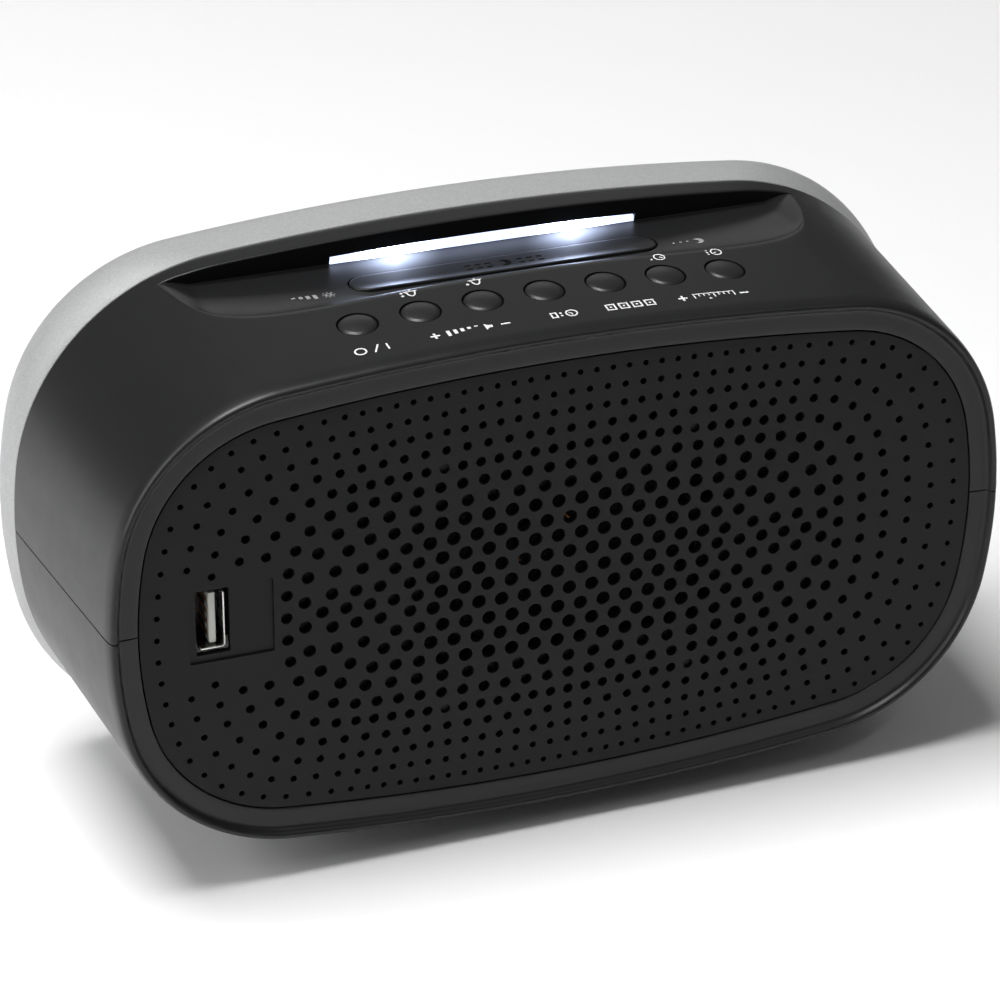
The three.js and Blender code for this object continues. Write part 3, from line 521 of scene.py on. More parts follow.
recess = {
    "tip": 71.0,
    "front": 50.2,
    "floor": 53.2,
    "floorWidth": 18.6,
    "tipWidth": 0.8,
    "rearBow": 450.0,
    "endSharpness": 7.3,
    "wallLean": 0.26,
    "lipRun": 1.36,
    "endRamp": 6.0,          # the floor comes up to the crown over this length at each tip
    "lipRound": 2.1,
    "footRound": 5.5,
    "wallFootRound": 0.45,
    "wallTopRound": 0.5,
}
# rows from rear to front: plain top, lip edge, lip slope, foot, floor, wall foot, wall, wall top
# and band
sectionCounts = (22, 9, 5, 9, 10, 6, 5, 7, 8)
sectionStart = 14.0


def bend(before, corner, after, count):      # a soft bend that leans to the corner
    t = np.linspace(0, 1, count)[:, None, None]
    return (1 - t) ** 2 * before + 2 * t * (1 - t) * corner + t ** 2 * after


def towards(a, b, length):
    gap = b - a
    far = np.maximum(np.linalg.norm(gap, axis=1), 1e-6)[:, None]
    return a + gap / far * np.minimum(length, 0.45 * far)


def recessSections(rearPoints, jointPoints, grow):      # rows of points from rear to front
    s = recess
    x0, z0 = rearPoints[:, 0], rearPoints[:, 1]
    dx, dz = (jointPoints[:, 0] - x0) / jointDepth, (jointPoints[:, 1] - z0) / jointDepth
    front = s["front"] + grow
    tip = s["tip"] + grow
    across = np.abs(x0 + dx * front)
    inside = np.clip((tip - across) / s["endRamp"], 0, 1) ** 0.6
    inRecess = (across < tip) & (z0 > 30)
    outerFront = z0 + dz * front
    floor = np.where(inRecess, outerFront - (outerFront - s["floor"] + grow) * inside, outerFront)
    footDepth = np.full_like(x0, front)
    for _ in range(4):
        x = np.abs(x0 + dx * footDepth)
        reach = np.sqrt(1 - np.clip(x / tip, 0, 0.99999) ** s["endSharpness"])
        width = s["floorWidth"] + x ** 2 / (2 * s["rearBow"])
        footDepth = front - s["tipWidth"] - (width + grow) * reach - grow
    run = s["lipRun"] * np.maximum(reach, 0.02)
    lipDepth = (footDepth / run - z0 + floor) / (dz + 1 / run)
    topDepth = (front - (z0 - floor) * s["wallLean"]) / (1 + dz * s["wallLean"])
    lip = np.stack([lipDepth, z0 + dz * lipDepth], axis=1)
    foot = np.stack([footDepth, floor], axis=1)
    base = np.stack([np.full_like(x0, front), floor], axis=1)
    top = np.stack([topDepth, z0 + dz * topDepth], axis=1)
    start = np.stack([np.full_like(x0, sectionStart), z0 + dz * sectionStart], axis=1)
    last = jointDepth - shell["jointEdge"]
    end = np.stack([np.full_like(x0, last), z0 + dz * last], axis=1)
    lipIn, lipOut = towards(lip, start, s["lipRound"]), towards(lip, foot, s["lipRound"])
    footIn, footOut = towards(foot, lip, s["footRound"]), towards(foot, base, s["footRound"])
    baseIn, baseOut = towards(base, foot, s["wallFootRound"]), towards(base, top, s["wallFootRound"])
    topIn, topOut = towards(top, base, s["wallTopRound"]), towards(top, end, s["wallTopRound"])
    pieces = [
        line(start, lipIn, sectionCounts[0]), bend(lipIn, lip, lipOut, sectionCounts[1]),
        line(lipOut, footIn, sectionCounts[2]), bend(footIn, foot, footOut, sectionCounts[3]),
        line(footOut, baseIn, sectionCounts[4]), bend(baseIn, base, baseOut, sectionCounts[5]),
        line(baseOut, topIn, sectionCounts[6]), bend(topIn, top, topOut, sectionCounts[7]),
        line(topOut, end, sectionCounts[8]),
    ]
    section = np.concatenate(pieces)
    # columns clear of the recess follow the plain flare with the same number of rows
    rows = len(section)
    rearRows = sectionCounts[0]
    frontRows = sectionCounts[8]
    plain = np.concatenate([
        np.linspace(sectionStart, front - 1.6, rearRows),
        np.linspace(front - 1.55, front + 0.05, rows - rearRows - frontRows),
        np.linspace(front + 0.1, last, frontRows),
    ])[:, None] * np.ones_like(x0)[None, :]
    depths = np.where(inRecess[None, :], section[:, :, 0], plain)
    rises = np.where(inRecess[None, :], section[:, :, 1], z0 + dz * plain)
    across = x0 + dx * depths
    return [[(px, pd, pz) for px, pd, pz in zip(across[r], depths[r], rises[r])] for r in range(rows)]


def line(a, b, count):
    t = np.linspace(0, 1, count + 2)[1:-1, None, None]
    return a + (b - a) * t


shell = {
    "crownSteps": 90,
    "cornerSteps": 64,
    "sideSteps": 14,
    "seatGap": 0.26,
    "rimProfile": [          # share of the way from the outer edge to the grille, depth
        (0.0, 1.6), (0.003, 1.0), (0.012, 0.35), (0.028, -0.28), (0.05, -0.8), (0.078, -1.22),
        (0.112, -1.52), (0.15, -1.69), (0.19, -1.75), (0.23, -1.69), (0.265, -1.52), (0.295, -1.25),
        (0.32, -0.92), (0.345, -0.62), (0.375, -0.4), (0.415, -0.26), (0.47, -0.2), (0.56, -0.2),
        (0.7, -0.22), (0.84, -0.2), (0.95, -0.14), (0.985, -0.05), (1.0, 0.12),
    ],
    "seatDepth": 2.5,
    "ledge": 2.6,
    "ledgeDepth": 4.0,
    "jointEdge": 0.14,       # the broken edge where the shells meet the bezel
}
shellSteps = (shell["crownSteps"], shell["cornerSteps"], shell["sideSteps"])


def cabinetRows():
    rimPoints = cushion(cabinet["rim"], shellSteps)
    jointPoints = cushion(cabinet["joint"], shellSteps)
    seat = inset(cabinet["grille"], -shell["seatGap"])
    seatPoints = cushion(seat, shellSteps)
    flare = (jointPoints - rimPoints) / jointDepth
    rows = []
    for share, depth in reversed(shell["rimProfile"]):
        points = rimPoints + (seatPoints - rimPoints) * share + flare * max(depth, 0) * (1 - share)
        rows.append(atDepth(points, depth))
    for depth in np.arange(2.4, sectionStart, 1.6):
        rows.append(atDepth(rimPoints + flare * depth, depth))
    rows += recessSections(rimPoints, jointPoints, 0.0)
    rows.append(atDepth(cushion(inset(cabinet["joint"], shell["jointEdge"]), shellSteps), jointDepth))
    wall = cabinet["wall"]
    innerRear = cushion(inset(cabinet["rim"], wall), shellSteps)
    innerJoint = cushion(inset(cabinet["joint"], wall), shellSteps)
    rows.append(atDepth(innerJoint, jointDepth))
    rows += reversed(recessSections(innerRear, innerJoint, wall))
    ledgeDepth = shell["ledgeDepth"]
    for depth in (9.0, ledgeDepth):
        rows.append(atDepth(innerRear + (innerJoint - innerRear) * depth / jointDepth, depth))
    opening = inset(cabinet["grille"], shell["ledge"])
    seatDepth = shell["seatDepth"]
    for outline, depth in ((opening, ledgeDepth), (opening, seatDepth), (seat, seatDepth)):
        rows.append(atDepth(cushion(outline, shellSteps), depth))
    return rows


def halfShell(name, node, above):
    verts, faces = stackRings(cabinetRows(), closeEnds=False, closeLoop=True)
    mesh = bpy.data.meshes.new(name)
    mesh.from_pydata([place(*v) for v in verts], [], [list(f) for f in faces])
    work = bmesh.new()
    work.from_mesh(mesh)
    side = 1 if above else -1
    at = place(0, 0, cabinet["parting"] + side * cabinet["partingGap"])
    everything = work.verts[:] + work.edges[:] + work.faces[:]
    bmesh.ops.bisect_plane(work, geom=everything, plane_co=at, plane_no=(0, 0, side),
                           clear_inner=True, dist=1e-8)
    rim = [e for e in work.edges if e.is_boundary]
    bmesh.ops.holes_fill(work, edges=rim, sides=0)
    work.to_mesh(mesh)
    work.free()
    piece = finishMesh(name, mesh, cabinetBlack, "cabinet", 38)
    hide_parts(node)
    return piece


def roundPost(x, depth, radius, low, high, sides=40):
    circle = circlePoints(x, depth, radius, sides)
    return stackRings([atRise(circle, low), atRise(circle, high)])


def stadiumRing(halfLength, halfWidth, depth, rise, steps=16):
    points = []
    straight = halfLength - halfWidth
    for side in (1, -1):
        for i in range(steps + 1):
            angle = -math.pi / 2 + math.pi * i / steps
            x = straight + halfWidth * math.cos(angle)
            points.append((side * x, depth + side * halfWidth * math.sin(angle)))
    return atRise(points, rise)


keys = {
    "names": ["tuning_down", "tuning_up", "preset", "time", "volume_down", "volume_up", "power"],
    "radius": 4.0,
    "holeRadius": 4.34,
    "dome": 0.55,
    "edgeRound": 0.45,
    "edgeDrop": 0.38,
    "skirt": 0.9,
    "skirtTop": -2.8,
    "skirtFoot": -3.7,
    "stem": 1.7,
    "stemFoot": 46.6,
    "cut": (40, 62),         # how far the openings in the top run
}
snooze = {
    "halfLength": 34.0,
    "halfWidth": 4.15,
    "gap": 0.38,
    "rearLift": 0.45,
    "liftRun": 3.2,
    "edge": [(0.45, 0.01), (0.30, 0.03), (0.12, 0.10), (0.03, 0.24), (0.0, 0.45)],      # inset, drop
    "flange": 1.4,
    "flangeTop": 50.6,
    "flangeFoot": 49.9,
    "stemAt": 20,
    "cut": (45, 57),
}
bar = {"end": 55.0, "endRound": 0.9}
bar["bottom"] = riseOf("light_bar", 0)
bar["middle"] = riseOf("light_bar", 1)
bar["halfLength"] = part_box("light_bar")[1].x / mm
snooze["depth"] = (depthOf("snooze_bar", 0) + depthOf("snooze_bar", 1)) / 2


def archedBar(halfLength, bottom, end, middle, near, far, steps=40, endRound=0.0):
    rings = []
    for depth in (near, far):
        ring = []
        for i in range(steps + 1):
            x = -halfLength + 2 * halfLength * i / steps
            share = x / halfLength
            into = max(abs(x) - halfLength + endRound, 0) / max(endRound, 1e-6)
            drop = endRound * (1 - math.sqrt(max(1 - into ** 2, 0)))
            ring.append((x, depth, end + (middle - end) * (1 - share ** 2) - drop * 0.55))
        for i in range(steps + 1):
            x = halfLength - 2 * halfLength * i / steps
            ring.append((x, depth, bottom))
        rings.append(ring)
    return stackRings(rings)


keyDepth = (depthOf("time_button", 0) + depthOf("time_button", 1)) / 2
keyXs = [middleX(name + "_button") for name in keys["names"]]


def buildUpperShell():
    upper = halfShell("upperShell", "upper_shell", True)
    shapes = [roundPost(x, keyDepth, keys["holeRadius"], *keys["cut"]) for x in keyXs]
    slot = [stadiumRing(snooze["halfLength"] + snooze["gap"], snooze["halfWidth"] + snooze["gap"],
                        snooze["depth"], rise) for rise in snooze["cut"]]
    shapes.append(stackRings(slot))
    shapes.append(archedBar(bar["halfLength"] + 0.12, bar["bottom"] - 0.05, bar["end"] + 0.1,
                            bar["middle"] + 0.1, recess["front"] - 1.5, jointDepth + 3))
    cutAway(upper, shapes)
    upper.data.set_sharp_from_angle(angle=math.radians(35))


buildUpperShell()


def bottomRise(x, depth):
    o = cabinetOutline(depth)
    quarter = quarterPoints(o, (24, 24, 24))
    return o["rise"] - float(np.interp(abs(x), quarter[:, 0], quarter[:, 1]))


base = {
    "doorGap": 0.3,
    "doorMargin": 2.0,
    "doorCut": (-62, -50),
    "bayWall": 1.8,
    "bayFoot": -53.2,
    "boreRadius": 3.1,
    "boreCut": (-62, -44),
    "boreEnd": -4.4,
    "bossRadius": 4.4,
    "shankBore": 1.7,
    "padRadius": 6.5,
    "inletRadius": 4.6,
    "inletCut": (-110, -88),
}
screwNodes = ["case_screw_%d" % number for number in range(1, 5)]
footNodes = ["rubber_foot_%d" % number for number in range(1, 5)]


def middleDepth(node):
    return (depthOf(node, 0) + depthOf(node, 1)) / 2


def brick(left, right, near, far, low, high):
    points = [(left, near), (right, near), (right, far), (left, far)]
    return stackRings([atRise(points, low), atRise(points, high)])


def buildLowerShell():
    lower = halfShell("lowerShell", "lower_shell", False)
    doorLow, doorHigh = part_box("battery_door")
    gap = base["doorGap"]
    shapes = [brick(doorLow.x / mm - gap, doorHigh.x / mm + gap, depthOf("battery_door", 1) - gap,
                    depthOf("battery_door", 0) + gap, *base["doorCut"])]
    for node in screwNodes:
        shapes.append(roundPost(middleX(node), middleDepth(node), base["boreRadius"], *base["boreCut"], 28))
    inletRise = (riseOf("power_inlet", 0) + riseOf("power_inlet", 1)) / 2
    circle = circlePoints(middleDepth("power_inlet"), inletRise, base["inletRadius"], 36)
    shapes.append(stackRings([[(x, depth, rise) for depth, rise in circle] for x in base["inletCut"]]))
    cutAway(lower, shapes)
    lower.data.set_sharp_from_angle(angle=math.radians(38))


def screwBoss(x, depth):
    b = base
    high = cabinet["parting"] - 0.2
    profile = [(b["bossRadius"], high), (b["bossRadius"], None), (b["boreRadius"], None),
               (b["boreRadius"], b["boreEnd"]), (b["shankBore"], b["boreEnd"]), (b["shankBore"], high)]
    rings = []
    for radius, rise in profile:
        circle = circlePoints(x, depth, radius, 32)
        rings.append([(px, pd, bottomRise(px, pd) + 0.9 if rise is None else rise) for px, pd in circle])
    return stackRings(rings, closeEnds=False, closeLoop=True)


def buildLowerFittings():
    shapes = []
    for node in screwNodes:
        shapes.append(screwBoss(middleX(node), middleDepth(node)))
    for node in footNodes:
        x, depth = middleX(node), middleDepth(node)
        low, high = riseOf(node, 1) + 0.3, bottomRise(x, depth) + 1.2
        shapes.append(roundPost(x, depth, base["padRadius"], low, high))
    verts, faces = joinShapes(shapes)
    newPiece("lowerFittings", verts, faces, cabinetBlack, "cabinet", "cabinet_black", 35)


def buildBatteryBay():
    margin, gap, wall = base["doorMargin"], base["doorGap"], base["bayWall"]
    foot = base["bayFoot"]
    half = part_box("battery_door")[1].x / mm - margin + gap
    near = depthOf("battery_door", 1) + margin - gap
    far = depthOf("battery_door", 0) - margin + gap
    top = riseOf("battery_bridge", 1) + 0.4
    seat = riseOf("battery_door", 1) + gap
    loops = [(wall, top + wall), (wall, seat + wall), (margin + wall, seat + wall), (margin + wall, foot),
             (margin, foot), (margin, seat), (0, seat), (0, top)]
    rings = []
    for grow, rise in loops:
        h, n, f = half + grow, near - grow, far + grow
        rings.append(atRise([(-h, n), (h, n), (h, f), (-h, f)], rise))
    verts, faces = stackRings(rings)
    newPiece("batteryBay", verts, faces, cabinetBlack, "cabinet", "cabinet_black", 30)


footEdge = [(1.6, 0.35), (1.3, 0.05), (0.9, 0), (0.35, 0.1), (0.08, 0.4), (0, 0.8)]      # inset, rise


def buildFeet():
    for number, node in enumerate(footNodes, 1):
        x, depth = middleX(node), middleDepth(node)
        radius = (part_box(node)[1].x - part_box(node)[0].x) / 2 / mm
        low, high = riseOf(node, 0), riseOf(node, 1)
        profile = [(radius - by, low + lift) for by, lift in footEdge] + [(radius, high)]
        rings = [atRise(circlePoints(x, depth, r, 48), rise) for r, rise in profile]
        verts, faces = stackRings(rings)
        piece = newPiece("rubberFoot%d" % number, verts, faces, rubberBlack, "cabinet", "rubber", 40)
        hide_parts(node)


def buildPartingTongue():      # fills the parting line behind its open groove
    sink = 0.7
    half = cabinet["partingGap"] + 0.03
    near, far = 0.4, jointDepth - 0.7
    wall = cabinet["wall"]
    outer = [(cabinetOutline(d)["across"] - sink, d) for d in (near, far)]
    inner = [(cabinetOutline(d)["across"] - wall + 0.6, d) for d in (far, 5.0)]
    seat = cabinet["grille"]["across"] + shell["seatGap"]
    crest = cabinet["rim"]["across"]
    rim = [(seat + 0.4, 2.3), (seat + 0.4, 0.5), (crest - 2.6, 0.2), (crest - 1.9, -0.7),
           (crest - 1.2, -1.15), (crest - 0.8, -0.7)]
    shapes = []
    for side in (1, -1):
        ring = [(side * x, d) for x, d in (outer + inner + rim)[::side]]
        shapes.append(stackRings([atRise(ring, cabinet["parting"] + lift) for lift in (-half, half)]))
    newPiece("partingTongue", *joinShapes(shapes), cabinetBlack, "cabinet", "cabinet_black", 30)


buildLowerShell()
buildLowerFittings()
buildBatteryBay()
buildPartingTongue()
buildFeet()
print("cabinet shells built")

grille = {
    "rings": 12,
    "rowRise": 4.03,
    "axisPitch": 5.11,
    "throughHalf": 32.0,
    "postRadius": 2.6,
    "postBore": 1.3,
    "postTip": 4.0,
    "boreEnd": 1.25,
    "holeSizes": [3.0, 3.0, 3.0, 3.0, 3.0, 2.72, 2.46, 2.17, 1.91, 1.63, 1.43, 1.24],
    "blindSize": 2.7,
    "midPitch": [5.17, 5.17, 5.17, 5.17, 5.17, 5.45, 4.62, 3.97, 4.55, 3.87, 3.97, 3.58],
    "sidePitch": 4.95,
    "boxStart": 31.2,        # half width of the middle boxes: start and step
    "boxStep": 5.15,
    "bandStart": 53.7,       # half width of the outer rings: start, first and later steps
    "bandStep": 3.8,
    "outerStep": 5.42,
    "thickness": 2.2,
    "blindDepth": 2.0,
    "shallow": 0.95,         # over the loudspeaker's screws
    "edgeRound": 0.12,
}


def ringAcross(k):
    g = grille
    if k < 5:
        return g["boxStart"] + g["boxStep"] * k
    return g["bandStart"] + g["bandStep"] * min(k - 4, 2) + g["outerStep"] * max(k - 6, 0)


def ringOutline(k):      # small rounded boxes inside, then more and more the cabinet's own shape
    up = grille["rowRise"] * k + (0.2 if k < 3 else 0.0)
    corner = 2.1 * k if k < 5 else 13.0 + 1.75 * (k - 5) + (3.0 if k == 11 else 0.0)
    side = 40.0 if k < 6 else 84.0
    return dict(across=ringAcross(k), up=up, rise=0.0, crown=660, side=side, corner=corner)


def ringHoles(k):      # hole centres in one quarter of ring k
    if k == 0:
        return [(grille["axisPitch"] * (i + 0.52), 0.0) for i in range(11)]
    points = quarterPoints(ringOutline(k), (60, 40, 30))
    if k < 5:
        points = points[points[:, 1] > (3.6 if k > 1 else 3.2)]
    steps = np.linalg.norm(np.diff(points, axis=0), axis=1)
    middle = (points[1:] + points[:-1]) / 2
    share = np.clip((middle[:, 0] - 46) / 8, 0, 1) if k > 5 else 0
    pitch = grille["midPitch"][k] + (grille["sidePitch"] - grille["midPitch"][k]) * share
    phase = np.concatenate([[0], np.cumsum(steps / pitch)])
    start = 0.5 if k in (2, 4, 11) else 0.0
    end = 0.5 if k in (5, 9) else 0.0
    count = round(phase[-1] - start - end)
    phase = phase * (count + start + end) / phase[-1]
    wanted = [start + i for i in range(count + 1)]
    return [(np.interp(w, phase, points[:, 0]), np.interp(w, phase, points[:, 1])) for w in wanted]


usb = {
    "x": middleX("usb_shell"),
    "rise": (riseOf("usb_shell", 0) + riseOf("usb_shell", 1)) / 2,
    "mouth": (3.8, 3.28, 7.4, 7.05),     # from the socket's middle: right, left, down, up
    "patch": (63.95, 81.8, -6.85, 9.9),
    "patchSink": 0.55,
    "sheet": 0.35,
    "frontEdge": 0.95,       # the shell's right and lower walls come this far forward
    "cutBack": 5.5,          # the other two start here
    "tongue": (75.55, 77.1),
    "tongueFront": 2.0,
    "tongueBack": 4.6,
    "contactPitch": 2.5,
    "left": 73.95,
    "insulatorFront": 8.5,
}


def allHoles():
    holes = []
    for k in range(grille["rings"]):
        for x, z in ringHoles(k):
            mirrored = {(sx * round(x, 4), sz * round(z, 4)) for sx in (1, -1) for sz in (1, -1)}
            for hx, hz in sorted(mirrored):
                left, right, low, high = usb["patch"]
                if left - 1.2 < hx < right + 2.6 and low - 4.4 < hz < high + 2.1:
                    continue
                through = k < 5 and abs(hx) < grille["throughHalf"]
                size = grille["holeSizes"][k] if through or k > 4 else grille["blindSize"]
                holes.append((hx, hz, size / 2, through))
    return holes


def plateWithHoles(outline, circles, depth):      # a flat face with every circle left open
    coords = [Vector(p) for p in outline]
    edges = [(i, (i + 1) % len(outline)) for i in range(len(outline))]
    owner = [-1] * len(outline)
    for index, circle in enumerate(circles):
        start = len(coords)
        coords += [Vector(p) for p in circle]
        owner += [index] * len(circle)
        edges += [(start + i, start + (i + 1) % len(circle)) for i in range(len(circle))]
    verts, _, faces, sources, _, _ = delaunay_2d_cdt(coords, edges, [], 1, 1e-6, True)
    owners = [{owner[i] for i in source} for source in sources]
    kept = []
    for face in faces:
        shared = owners[face[0]] & owners[face[1]] & owners[face[2]]
        if shared and max(shared) >= 0:
            continue
        kept.append(tuple(face))
    return [(v.x, depth, v.y) for v in verts], kept


mouthRound = 0.06
speakerNodes = ["speaker_screw_%d" % number for number in range(1, 5)]
speakerScrews = [(middleX(node), (riseOf(node, 0) + riseOf(node, 1)) / 2) for node in speakerNodes]


def holeDepth(x, z, radius, through):
    if through:
        return grille["thickness"]
    reach = radius + grille["postBore"] + 0.4
    overScrew = any(math.hypot(x - sx, z - sz) < reach for sx, sz in speakerScrews)
    return grille["shallow"] if overScrew else grille["blindDepth"]


def boreWall(x, z, rings, sides, blind):
    verts, faces = [], []
    for r, depth in rings:
        verts += atDepth(circlePoints(x, z, r, sides), depth)
    for level in range(len(rings) - 1):
        for i in range(sides):
            j = (i + 1) % sides
            a = level * sides
            faces.append((a + i, a + j, a + sides + j, a + sides + i))
    if blind:
        last = (len(rings) - 1) * sides
        verts.append((x, rings[-1][1], z))
        for i in range(sides):
            faces.append((last + i, last + (i + 1) % sides, len(verts) - 1))
    return verts, faces


def screwPost(x, z):
    g = grille
    rings = [(g["postRadius"], g["thickness"]), (g["postRadius"], g["postTip"] - 0.15),
             (g["postRadius"] - 0.15, g["postTip"]), (g["postBore"] + 0.1, g["postTip"]),
             (g["postBore"], g["postTip"] - 0.1), (g["postBore"], g["boreEnd"])]
    return boreWall(x, z, rings, 28, True)


def holeWall(x, z, radius, through, sides):
    rings = [(radius + mouthRound, 0.0), (radius + 0.02, 0.02), (radius, mouthRound),
             (radius, holeDepth(x, z, radius, through))]
    return boreWall(x, z, rings, sides, not through)


def boxPoints(left, right, low, high, corner, steps=6):
    points = []
    for cx, cz, start in ((right - corner, high - corner, 0), (left + corner, high - corner, 90),
                          (left + corner, low + corner, 180), (right - corner, low + corner, 270)):
        for i in range(steps + 1):
            angle = math.radians(start + 90 * i / steps)
            points.append((cx + corner * math.cos(angle), cz + corner * math.sin(angle)))
    return points


def buildGrille():
    steps = (48, 36, 20)
    outer = cabinet["grille"]
    holes = allHoles()
    print("grille holes:", len(holes))
    left, right, low, high = usb["patch"]
    patch = boxPoints(left, right, low, high, 0.6)
    toRight, toLeft, down, up = usb["mouth"]
    mouth = boxPoints(usb["x"] - toRight, usb["x"] + toLeft, usb["rise"] - down, usb["rise"] + up, 0.3)
    rounded = grille["edgeRound"]
    face = [tuple(p) for p in cushion(inset(outer, rounded), steps)]
    circles = []
    for x, z, radius, _ in holes:
        sides = 20 if radius > 1.2 else 16
        circles.append(circlePoints(x, z, radius + mouthRound, sides))
    shapes = [plateWithHoles(face, circles + [patch], 0.0)]
    for x, z, radius, through in holes:
        shapes.append(holeWall(x, z, radius, through, 20 if radius > 1.2 else 16))
    sunk = usb["patchSink"]
    shapes.append(ribbonWall(atDepth(patch, 0.0), atDepth(patch, sunk)))
    shapes.append(plateWithHoles(patch, [mouth], sunk))
    thick = grille["thickness"]
    shapes.append(ribbonWall(atDepth(mouth, sunk), atDepth(mouth, thick)))
    edge = []
    for i in range(5):
        angle = (math.pi / 2) * i / 4
        by = rounded * (1 - math.sin(angle))
        depth = rounded * (1 - math.cos(angle))
        edge.append(atDepth(cushion(inset(outer, by), steps), depth))
    edge.append(atDepth(cushion(outer, steps), thick))
    shapes.append(stackRings(edge, closeEnds=False))
    bores = [circlePoints(x, z, radius, 20) for x, z, radius, through in holes if through]
    back = [tuple(p) for p in cushion(outer, steps)]
    posts = [circlePoints(x, z, grille["postRadius"], 28) for x, z in speakerScrews]
    shapes.append(plateWithHoles(back, bores + posts + [mouth], thick))
    shapes += [screwPost(x, z) for x, z in speakerScrews]
    verts, faces = joinShapes(shapes)
    piece = newPiece("rearGrille", verts, faces, grilleBlack, "cabinet", "grille_black", 14)
    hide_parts("rear_grille")


def buildUsb():
    u = usb
    left, right = u["left"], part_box("usb_shell")[1].x / mm
    low, high = riseOf("usb_shell", 0), riseOf("usb_shell", 1)
    back = depthOf("usb_shell", 0)

    def wall(by, shallow, deep):
        ring = []
        for x, z in boxPoints(left + by, right - by, low + by, high - by, 0.8 - by):
            forward = x < left + by + 0.3 or z < low + by + 0.3
            ring.append((x, shallow if forward else deep, z))
        return ring

    sheet, edge, cut = u["sheet"], u["frontEdge"], u["cutBack"]
    rings = [wall(0, back, back), wall(0, edge + 0.1, cut), wall(0.1, edge, cut - 0.1),
             wall(sheet - 0.1, edge, cut - 0.1), wall(sheet, edge + 0.1, cut),
             wall(sheet, back - sheet, back - sheet)]
    verts, faces = stackRings(rings)
    piece = newPiece("usbShell", verts, faces, nickelSheet, "cabinet", "plated", 40)
    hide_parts("usb_shell")
    near, far = u["tongue"]
    bottom, top = riseOf("usb_tongue", 0), riseOf("usb_tongue", 1)
    front = u["tongueFront"]
    rings = []
    for by, depth in ((0.3, front), (0.08, front + 0.1), (0.0, front + 0.35), (0.0, u["tongueBack"])):
        rings.append(atDepth(boxPoints(near + by, far - by, bottom + by, top - by, 0.25), depth))
    piece = newPiece("usbTongue", *stackRings(rings), nylonWhite, "cabinet", "white_plastic", 40)
    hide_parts("usb_tongue")
    shapes = []
    for step in (-1.5, -0.5, 0.5, 1.5):
        z = (bottom + top) / 2 + step * u["contactPitch"]
        rings = []
        for depth, face in ((front + 0.9, far + 0.03), (front + 1.1, far + 0.09), (front + 8, far + 0.09)):
            rings.append(atDepth(boxPoints(far - 0.05, face, z - 0.5, z + 0.5, 0.03), depth))
        shapes.append(stackRings(rings))
    newPiece("usbContacts", *joinShapes(shapes), copperWire, "cabinet", "copper", 30)
    core = boxPoints(near, far, bottom, top, 0.25)
    block = boxPoints(left + 0.5, right - 0.5, low + 0.5, high - 0.5, 0.25)
    step = u["insulatorFront"]
    rings = [atDepth(core, u["tongueBack"]), atDepth(core, step), atDepth(block, step),
             atDepth(block, back - 0.7)]
    newPiece("usbInsulator", *stackRings(rings), keyBlack, "cabinet", "inlet_black", 30)


def ribbonWall(first, second):
    count = len(first)
    faces = [(i, (i + 1) % count, count + (i + 1) % count, count + i) for i in range(count)]
    return list(first) + list(second), faces


buildGrille()
buildUsb()
print("grille and USB socket built")

bezel = {
    "windowGap": 0.3,
    "lip": 2.6,
    "sideEnd": 63.5,
    "roundIn": 4.4,
    "seam": [(0.22, 0.3), (0.04, 0.42), (-0.02, 0.7)],      # inset and depth from the shells' edge
    "recessTop": 68.6,
    "recessFloor": 67.0,
    "backInset": 3.8,
    "backEdge": 3.4,
}
pane = [(-1.8, 65.1), (-1.8, 66.7), (0, 66.7), (0, 67.9), (0.12, 68.25), (0.4, 68.45), (0.9, 68.58),
        (20, 68.62)]         # the window: inset, depth
frontSteps = (64, 44, 24)


def buildBezel():
    b = bezel
    joint = cabinet["joint"]
    outer = cabinet["bezel"]
    window = cabinet["window"]
    rows = [(inset(joint, by), jointDepth + ahead) for by, ahead in b["seam"]]
    start = rows[-1][1]
    for i in range(1, 9):
        share = i / 8
        depth = start + (b["sideEnd"] - start) * share
        rows.append((between(joint, outer, math.sin(share * math.pi / 2)), depth))
    for i in range(1, 13):
        angle = (math.pi / 2) * i / 12
        by = b["roundIn"] * (1 - math.cos(angle))
        rows.append((inset(outer, by), b["sideEnd"] + (frontDepth - b["sideEnd"]) * math.sin(angle)))
    rows += [
        (inset(window, -b["lip"] - 0.3), frontDepth),
        (inset(window, -b["lip"]), frontDepth - 0.05),
        (inset(window, -b["lip"] + 0.2), frontDepth - 0.25),
        (inset(window, -b["windowGap"] - 0.1), b["recessTop"] + 0.35),
        (inset(window, -b["windowGap"]), b["recessTop"]),
        (inset(window, -b["windowGap"]), b["recessFloor"]),
        (inset(outer, b["backInset"]), b["recessFloor"]),
        (inset(joint, b["backEdge"]), jointDepth + b["seam"][0][1]),
    ]
    rings = [atDepth(cushion(o, frontSteps), depth) for o, depth in rows]
    verts, faces = stackRings(rings, closeEnds=False, closeLoop=True)
    piece = newPiece("frontBezel", verts, faces, silverPaint, "cabinet", "silver_paint", 40)
    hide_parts("front_bezel")


def buildWindow():
    rings = [atDepth(cushion(inset(cabinet["window"], by), frontSteps), depth) for by, depth in pane]
    verts, faces = stackRings(rings)
    piece = newPiece("frontWindow", verts, faces, smokedWindow, "cabinet", "window_smoke", 40)
    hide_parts("front_window")


digits = {
    "text": "10:08",
    "height": 26.0,
    "width": 13.5,
    "stroke": 2.5,
    "tipGap": 0.25,
    "pitch": 19.5,
    "colonGap": 14.0,
    "dotRadius": 1.4,
    "dotRise": 5.0,
    "slant": 0.09,
    "start": -34.5,
}
segmentTable = {"0": "abcdef", "1": "bc", "8": "abcdefg"}


